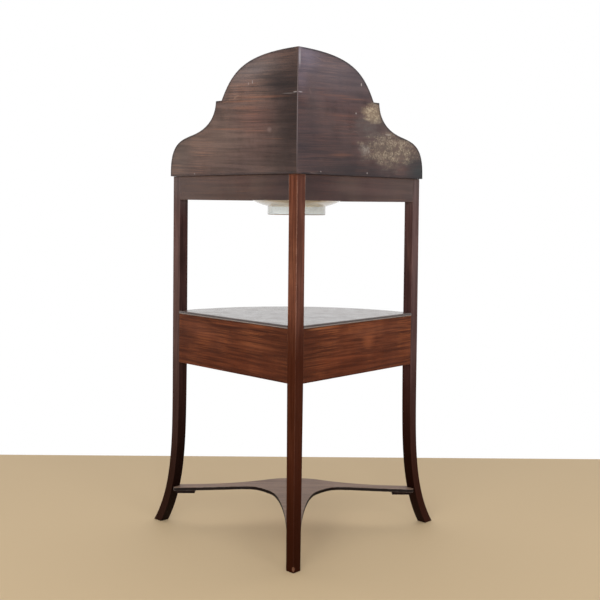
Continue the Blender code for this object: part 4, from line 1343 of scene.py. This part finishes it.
def make_lathe_tree():
    tree, given, result = new_shape("turned piece", {
        "Centre": (0.0, 0.0, 0.0), "Turn": (0.0, 0.0, 0.0), "Segments": 96,
    })
    size = add(tree, "GeometryNodeAttributeDomainSize", {"Geometry": given["Geometry"]})
    columns = size.outputs["Point Count"]
    rows = maths(tree, "ADD", given["Segments"], 1.0)
    grid = add(tree, "GeometryNodeMeshGrid", {"Vertices X": columns, "Vertices Y": rows}).outputs[0]
    unit = separate(tree, vectors(tree, "ADD", position(tree), (0.5, 0.5, 0)))
    column = maths(tree, "ROUND", maths(tree, "MULTIPLY", unit["X"], maths(tree, "SUBTRACT", columns, 1.0)))
    fetched = add(tree, "GeometryNodeSampleIndex", {
        "Geometry": given["Geometry"], "Value": position(tree), "Index": column,
    }, data_type="FLOAT_VECTOR").outputs[0]
    profile = separate(tree, fetched)
    angle = maths(tree, "MULTIPLY", unit["Y"], math.tau)
    x = maths(tree, "MULTIPLY", profile["X"], maths(tree, "COSINE", angle))
    y = maths(tree, "MULTIPLY", profile["X"], maths(tree, "SINE", angle))
    place = combine(tree, x, y, profile["Z"])
    wrapped = add(tree, "GeometryNodeSetPosition", {"Geometry": grid, "Position": place}).outputs[0]
    merging = {"Geometry": wrapped, "Distance": weld_distance}
    closed = add(tree, "GeometryNodeMergeByDistance", merging).outputs[0]
    placed = add(tree, "GeometryNodeTransform", {
        "Geometry": closed, "Translation": given["Centre"], "Rotation": given["Turn"],
    }).outputs[0]
    return finish_tree(tree, placed, given, result)


lathe_tree = make_lathe_tree()


def turned(name, profile, centre, turn=(0.0, 0.0, 0.0), segments=96):
    """Turns a profile of (radius, height) pairs round an axis."""
    line = bpy.data.meshes.new(name)
    line.from_pydata([(radius, 0, height) for radius, height in profile], [], [])
    return grown(name, lathe_tree, {"Centre": tuple(centre), "Turn": tuple(turn), "Segments": segments}, line)


print("lathe tree:", len(lathe_tree.nodes), "nodes")

# %% [markdown]
# ## The wash basin
#
# The photograph shows its underside only: a shallow bowl and a foot ring. The bowl is one smooth
# line, so its few points are joined by a curve that passes through all of them. The foot ring and
# the rim have crisp corners, so there the points are joined straight, and the Bevel rounds them.

# %% The basin's profile, in shares of its rim radius and its depth
recess_shares = ((0, 0.165), (0.30, 0.16), (0.402, 0.13))
foot_shares = ((0.413, 0), (0.460, 0))
bowl_shares = ((0.460, 0.19), (0.565, 0.235), (0.683, 0.31), (0.80, 0.45), (0.885, 0.64), (0.925, 0.85),
               (0.93, 1))
inside_shares = ((0.93, 1.035), (0.90, 0.96), (0.888, 0.84), (0.845, 0.655), (0.765, 0.49), (0.65, 0.365),
                 (0.53, 0.29), (0.40, 0.25), (0, 0.235))
rim_thickness = 0.005
lip_steps = 8
basin_arris = 0.0009
basin_depth = basin_high.z - basin_low.z - rim_thickness


def through(points, steps=6):
    """A smooth line that passes through every point."""
    result = []
    padded = [points[0], *points, points[-1]]
    for before, start, end, after in zip(padded, padded[1:], padded[2:], padded[3:]):
        bends = [[a + (b - c) / 6 for a, b, c in zip(*three)]
                 for three in ((start, end, before), (end, start, after))]
        result += curve((start, *bends, end), steps)[:-1]
    return [*result, points[-1]]


def basin_sized(shares):
    return [(share * basin_rim_radius, up * basin_depth) for share, up in shares]


lip = rim_thickness / 2
lip_turns = [math.pi * step / lip_steps for step in range(lip_steps + 1)]
profile = basin_sized([*recess_shares, *foot_shares, *through(bowl_shares)])
profile += [(basin_rim_radius - lip + lip * math.sin(turn), basin_depth + lip - lip * math.cos(turn))
            for turn in lip_turns]
profile += basin_sized(through(inside_shares))
basin = turned("finished_wash_basin", profile, (basin_centre.x, basin_centre.y, basin_low.z))
hand_over(rounded(*taken(basin), basin_arris, 3, shortest=0.002), glaze, "wash_basin", body="basin")

# %% [markdown]
# ## Brass knobs
#
# A knob has a stamped back plate with a bead round it, a slim neck and a flattened ball that is
# bright from use. All three are the same turning, set square to the bow front. The nut behind
# each front is hexagonal in real life, so it is turned with six segments.

# %% Three knobs and their nuts
front_radius = reach("case_rail_lower", forward)[1]
shank_radius = 0.0025
nut_radius = 0.0052
nut_bore = 0.0028
knob_arris = 0.0002
nut_arris = 0.0003
plate_profile = ((shank_radius, 0.0003), (0.0115, 0.0003), (0.0115, 0.0008), (0.0108, 0.0015),
                 (0.0098, 0.0013), (0.0090, 0.0010), (0.0080, 0.0014), (0.0058, 0.0022))
neck_profile = ((0.0058, 0.0022), (0.0044, 0.0036), (0.0040, 0.0058), (0.0050, 0.0078), (0.0078, 0.0096),
                (0.0096, 0.0118), (0.0100, 0.0142), (0.0094, 0.0166), (0.0076, 0.0188), (0.0046, 0.0203),
                (0.0, 0.0209))
knob_profile = [*plate_profile, *through(neck_profile, 4)[1:]]

for node in ("drawer_knob", "dummy_knob_left", "dummy_knob_right"):
    from_corner = centre_of(node) - corner
    angle = math.atan2(from_corner.x, -from_corner.y)
    facing = Vector((math.sin(angle), -math.cos(angle), 0))
    turn = facing.to_track_quat("Z", "Y").to_euler()
    place = bow_place(front_radius, angle, from_corner.z)
    body = nodes[node]["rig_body"]

    tail = reach(node, facing)[0] - front_radius
    shank = ((0, tail), (shank_radius, tail))
    knob = turned("finished_" + node, [*shank, *knob_profile], place, turn, segments=40)
    hand_over(rounded(*taken(knob), knob_arris), brass, node, body=body)

    nut = node + "_nut"
    far, near = [edge - front_radius for edge in reach(nut, facing)]
    nut_profile = ((nut_bore, far), (nut_radius, far), (nut_radius, near), (nut_bore, near), (nut_bore, far))
    piece = turned("finished_" + nut, nut_profile, place, turn, segments=6)
    hand_over(rounded(*taken(piece), nut_arris), brass, nut, body=body)

# %% [markdown]
# ## Cock beads round the fronts
#
# A thin half-round bead frames a good drawer of this time and protects its veneer. It follows
# the edge of a front that is bowed, so the geometry tree makes a flat rectangle, adds points
# along it, bends it round the corner's axis and sweeps a small circle along it. Half of the
# bead is sunk in the wood.

# %% The bead tree, and a bead for each front


def make_bead_tree():
    tree, given, result = new_shape("bowed bead", {
        "Corner": (0.0, 0.0, 0.0), "Bow radius": 0.4, "Angle": 0.0, "Spread": 0.4, "Low": 0.4, "Tall": 0.1,
        "Bead radius": 0.0013, "Cuts": 24,
    })
    border_size = {"Width": given["Spread"], "Height": given["Tall"]}
    border = add(tree, "GeometryNodeCurvePrimitiveQuadrilateral", border_size).outputs[0]
    finer = add(tree, "GeometryNodeSubdivideCurve", {"Curve": border, "Cuts": given["Cuts"]}).outputs[0]
    flat = separate(tree, position(tree))
    angle = maths(tree, "ADD", flat["X"], given["Angle"])
    x = maths(tree, "MULTIPLY", given["Bow radius"], maths(tree, "SINE", angle))
    y = maths(tree, "MULTIPLY", given["Bow radius"], maths(tree, "COSINE", angle))
    height = maths(tree, "ADD", flat["Y"], maths(tree, "MULTIPLY_ADD", given["Tall"], 0.5, given["Low"]))
    place = vectors(tree, "ADD", given["Corner"], combine(tree, x, maths(tree, "MULTIPLY", y, -1.0), height))
    bent = add(tree, "GeometryNodeSetPosition", {"Geometry": finer, "Position": place}).outputs[0]
    section_size = {"Resolution": 12, "Radius": given["Bead radius"]}
    section = add(tree, "GeometryNodeCurvePrimitiveCircle", section_size).outputs[0]
    swept = add(tree, "GeometryNodeCurveToMesh", {"Curve": bent, "Profile Curve": section}).outputs[0]
    return finish_tree(tree, swept, given, result)


bead_tree = make_bead_tree()
bead_radius = 0.0013
bead_inset = bead_radius * 1.2
front_skin = 0.0005  # what lies nearer to the bow than this belongs to the front's face

for node in ("drawer_front", "dummy_front_left", "dummy_front_right"):
    places = [vertex.co - corner for vertex in nodes[node].data.vertices]
    face = [place for place in places if place.xy.length > front_radius - front_skin]
    angles = [math.atan2(place.x, -place.y) for place in face]
    first, last = min(angles) + bead_inset / front_radius, max(angles) - bead_inset / front_radius
    low, high = level(node) + bead_inset, level(node, top=True) - bead_inset
    bead = grown("bead_on_" + node, bead_tree, {
        "Corner": tuple(corner), "Bow radius": front_radius, "Angle": (first + last) / 2,
        "Spread": last - first, "Low": low, "Tall": high - low, "Bead radius": bead_radius,
        "Material": upright_wood,
    })
    bead.data.shade_smooth()
    hand_over(bead, upright_wood, body=nodes[node]["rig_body"])

# %% [markdown]
# ## Nails and screws
#
# Cut nails hold the splash boards to the top board and to the corner shelf, and a slotted screw
# holds each cleat. They repeat, so they are instances on points: each point is a node's own place
# and carries the direction that the head faces. All nails of the stand become one mesh, and so
# do the screws. A random turn, from a fixed seed, keeps the slots and square shanks from lining up.

# %% The fastener tree


def make_fastener_tree():
    tree, given, result = new_shape("driven fasteners", {
        "Head radius": 0.002, "Head height": 0.0008, "Slot width": 0.0, "Shank radius": 0.001,
        "Shank sides": 4, "Length": 0.02, "Seed": 3,
    })
    ball = add(tree, "GeometryNodeMeshUVSphere", {"Segments": 16, "Rings": 8, "Radius": 1.0}).outputs[0]
    shape = combine(tree, given["Head radius"], given["Head radius"], given["Head height"])
    head = add(tree, "GeometryNodeTransform", {"Geometry": ball, "Scale": shape}).outputs[0]
    slot_length = maths(tree, "MULTIPLY", given["Head radius"], 3.0)
    slot_size = combine(tree, slot_length, given["Slot width"], given["Head height"])
    slot = add(tree, "GeometryNodeMeshCube", {"Size": slot_size}).outputs[0]
    lift = combine(tree, 0.0, 0.0, given["Head height"])
    raised = add(tree, "GeometryNodeTransform", {"Geometry": slot, "Translation": lift}).outputs[0]
    halves = {"Mesh 1": head, "Mesh 2": raised}
    slotted = add(tree, "GeometryNodeMeshBoolean", halves, operation="DIFFERENCE").outputs[0]
    has_slot = maths(tree, "GREATER_THAN", given["Slot width"], 0.0)
    choice = {"Switch": has_slot, "False": head, "True": slotted}
    head = add(tree, "GeometryNodeSwitch", choice, input_type="GEOMETRY").outputs[0]
    thin_end = maths(tree, "MULTIPLY", given["Shank radius"], 0.35)
    shank = add(tree, "GeometryNodeMeshCone", {
        "Vertices": given["Shank sides"], "Radius Top": thin_end, "Radius Bottom": given["Shank radius"],
        "Depth": given["Length"],
    }).outputs[0]
    shank = add(tree, "GeometryNodeTransform", {"Geometry": shank, "Rotation": (math.pi, 0, 0)}).outputs[0]
    whole = tree.nodes.new("GeometryNodeJoinGeometry")
    tree.links.new(head, whole.inputs[0])
    tree.links.new(shank, whole.inputs[0])
    stored = add(tree, "GeometryNodeInputNamedAttribute", {"Name": "facing"}, data_type="FLOAT_VECTOR")
    aim = {"Vector": stored.outputs[0]}
    upright = add(tree, "FunctionNodeAlignRotationToVector", aim, axis="Z").outputs[0]
    chance = add(tree, "FunctionNodeRandomValue", {"Seed": given["Seed"]}, data_type="FLOAT").outputs["Value"]
    spin = combine(tree, 0.0, 0.0, maths(tree, "MULTIPLY", chance, math.pi))
    twist = add(tree, "FunctionNodeRotateRotation", {0: upright, 1: spin}, rotation_space="LOCAL").outputs[0]
    placed = add(tree, "GeometryNodeInstanceOnPoints", {
        "Points": given["Geometry"], "Instance": whole.outputs[0], "Rotation": twist,
    }).outputs[0]
    return finish_tree(tree, placed, given, result)


fastener_tree = make_fastener_tree()
print("fastener tree:", len(fastener_tree.nodes), "nodes")

# %% Nails in the splash boards, screws in the cleats
nail_sizes = {"Head radius": 0.0021, "Head height": 0.0008, "Shank radius": 0.0012, "Length": 0.019}
screw_sizes = {
    "Head radius": 0.0035, "Head height": 0.0016, "Slot width": 0.0008, "Shank radius": 0.0016,
    "Shank sides": 12, "Length": 0.0105,
}


def fasteners(name, facings, sizes):
    """One piece with a fastener for each node; facings maps a node to where its head faces."""
    places = []
    for node, facing in facings.items():
        middle = centre_of(node)
        head = reach(node, facing)[1] - sizes["Head height"]
        places.append(middle + facing * (head - (middle - corner).dot(facing)))
    points = bpy.data.meshes.new(name)
    points.from_pydata(places, [], [])
    attribute = points.attributes.new("facing", "FLOAT_VECTOR", "POINT")
    attribute.data.foreach_set("vector", [value for facing in facings.values() for value in facing])
    piece = grown(name, fastener_tree, {**sizes, "Material": iron}, points)
    hand_over(piece, iron, *facings)


nails = {node: outward[node.split("_")[2]] for node in nodes if node.startswith("splash_nail")}
screws = {node: Vector((0, 0, -1)) for node in nodes if node.startswith("stretcher_screw")}
fasteners("splash_nails", nails, nail_sizes)
fasteners("cleat_screws", screws, screw_sizes)

# %% [markdown]
# ## Dovetails
#
# A drawer of this quality is dovetailed. Pulled out, its front shows three pale tails let into
# the dark wood at each end. The tails belong to the softwood sides, so they take its finish. They
# repeat up the joint, so the tree makes one wedge-shaped plate and puts it on a line of points.

# %% Tails at both ends of the drawer front


def make_tail_tree():
    tree, given, result = new_shape("dovetails", {
        "Place": (0.0, 0.0, 0.0), "Count": 3, "Pitch": 0.026, "Length": 0.011, "Narrow": 0.013,
        "Wide": 0.019, "Proud": 0.0003,
    })
    plate = tree.nodes.new("GeometryNodeMeshCube").outputs[0]
    unit = separate(tree, position(tree))
    ahead = maths(tree, "SUBTRACT", 0.5, unit["Y"])
    flare = maths(tree, "SUBTRACT", given["Wide"], given["Narrow"])
    width = maths(tree, "MULTIPLY_ADD", flare, ahead, given["Narrow"])
    thickness = maths(tree, "MULTIPLY", unit["X"], given["Proud"])
    length = maths(tree, "MULTIPLY", maths(tree, "MULTIPLY", ahead, given["Length"]), -1.0)
    shape = combine(tree, thickness, length, maths(tree, "MULTIPLY", unit["Z"], width))
    tail = add(tree, "GeometryNodeSetPosition", {"Geometry": plate, "Position": shape}).outputs[0]
    line = add(tree, "GeometryNodeMeshLine", {
        "Count": given["Count"], "Start Location": given["Place"],
        "Offset": combine(tree, 0.0, 0.0, given["Pitch"]),
    }).outputs[0]
    row = add(tree, "GeometryNodeInstanceOnPoints", {"Points": line, "Instance": tail}).outputs[0]
    return finish_tree(tree, row, given, result)


tail_tree = make_tail_tree()
tail_count = 3
narrow_share = 0.50  # of the pitch from tail to tail
wide_share = 0.78

for side, hand in hands.items():
    drawer_side = "drawer_side_" + side
    low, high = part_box(drawer_side)
    outer_x = high.x if hand > 0 else low.x
    pitch = (high.z - low.z) / tail_count
    tails = grown("dovetails_" + side, tail_tree, {
        "Place": (outer_x, low.y, low.z + pitch / 2), "Pitch": pitch, "Count": tail_count,
        "Narrow": pitch * narrow_share, "Wide": pitch * wide_share, "Material": linings["deep"],
    })
    hand_over(tails, linings["deep"], body="drawer")

# %% [markdown]
# ## Floor and light
#
# The floor is plain and pale, and it ends where the white wall stands behind the object. The wall
# itself would hide the front, so the world's light stands in for it: bright on that side, dim on
# the camera's side, as a room is. That difference matters, because polished faces that turn
# towards the wall look grey, and those that turn towards the room stay dark and red. Three large
# soft lights on the camera's side do the rest.

# %% Stage
wall_line = -0.738  # the floor ends here, where the wall stands
room_depth = 5
room_half_width = 4
floor_corners = [(-room_half_width, wall_line, 0), (room_half_width, wall_line, 0),
                 (room_half_width, room_depth, 0), (-room_half_width, room_depth, 0)]
floor_mesh = bpy.data.meshes.new("floor")
floor_mesh.from_pydata(floor_corners, [], [(0, 1, 2, 3)])
floor = show("floor", floor_mesh)
floor_mesh.materials.append(start_finish("floor", Roughness=0.75, Base_Color=colour(0.62, 0.455, 0.265))[0])
floor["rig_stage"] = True
print("the floor is", 2 * room_half_width, "m wide")

# %% World and lights
world = bpy.data.worlds.new("studio")
scene.world = world
world.use_nodes = True
sky = world.node_tree
direction = separate(sky, sky.nodes.new("ShaderNodeTexCoord").outputs["Generated"])
wall_glow = fade(sky, direction["Y"], 0.06, -0.22, high=0.95)
room_glow = fade(sky, direction["Z"], -0.1, 0.9, low=0.03, high=0.50)
glow = maths(sky, "MAXIMUM", wall_glow, room_glow)
seen_by_camera = sky.nodes.new("ShaderNodeLightPath").outputs["Is Camera Ray"]
background = sky.nodes["Background"]
sky.links.new(mix_numbers(sky, seen_by_camera, glow, 1.0), background.inputs["Strength"])
background.inputs["Color"].default_value = colour(1, 1, 1)


def soft_light(name, place, size, power, tint, aim=(0, 0, 0.7)):
    light = bpy.data.lights.new(name, "AREA")
    light.size = size
    light.energy = power
    light.color = tint
    lamp = bpy.data.objects.new(name, light)
    lamp.location = place
    lamp.rotation_euler = (Vector(aim) - Vector(place)).to_track_quat("-Z", "Y").to_euler()
    scene.collection.objects.link(lamp)


soft_light("window", place=(0.4, 4.6, 1.2), size=2.6, power=205, tint=(0.90, 0.96, 1.0))
soft_light("lamp_left", place=(1.9, 3.3, 2.2), size=1.4, power=24, tint=(1.0, 0.97, 0.93))
soft_light("lamp_right", place=(-2.1, 3.2, 2.0), size=1.4, power=25, tint=(0.95, 0.97, 1.0))
scene.view_settings.view_transform = "Standard"
print("lights:", [light.name for light in bpy.data.lights])

# %% [markdown]
# ## The dressed stand's box
#
# The dressed stand has to fill the same box as the imported model, so the last call prints the
# dressed stand's box.

# %% Sizes and finish
low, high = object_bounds()
print("visual box from", in_short(low), "to", in_short(high))
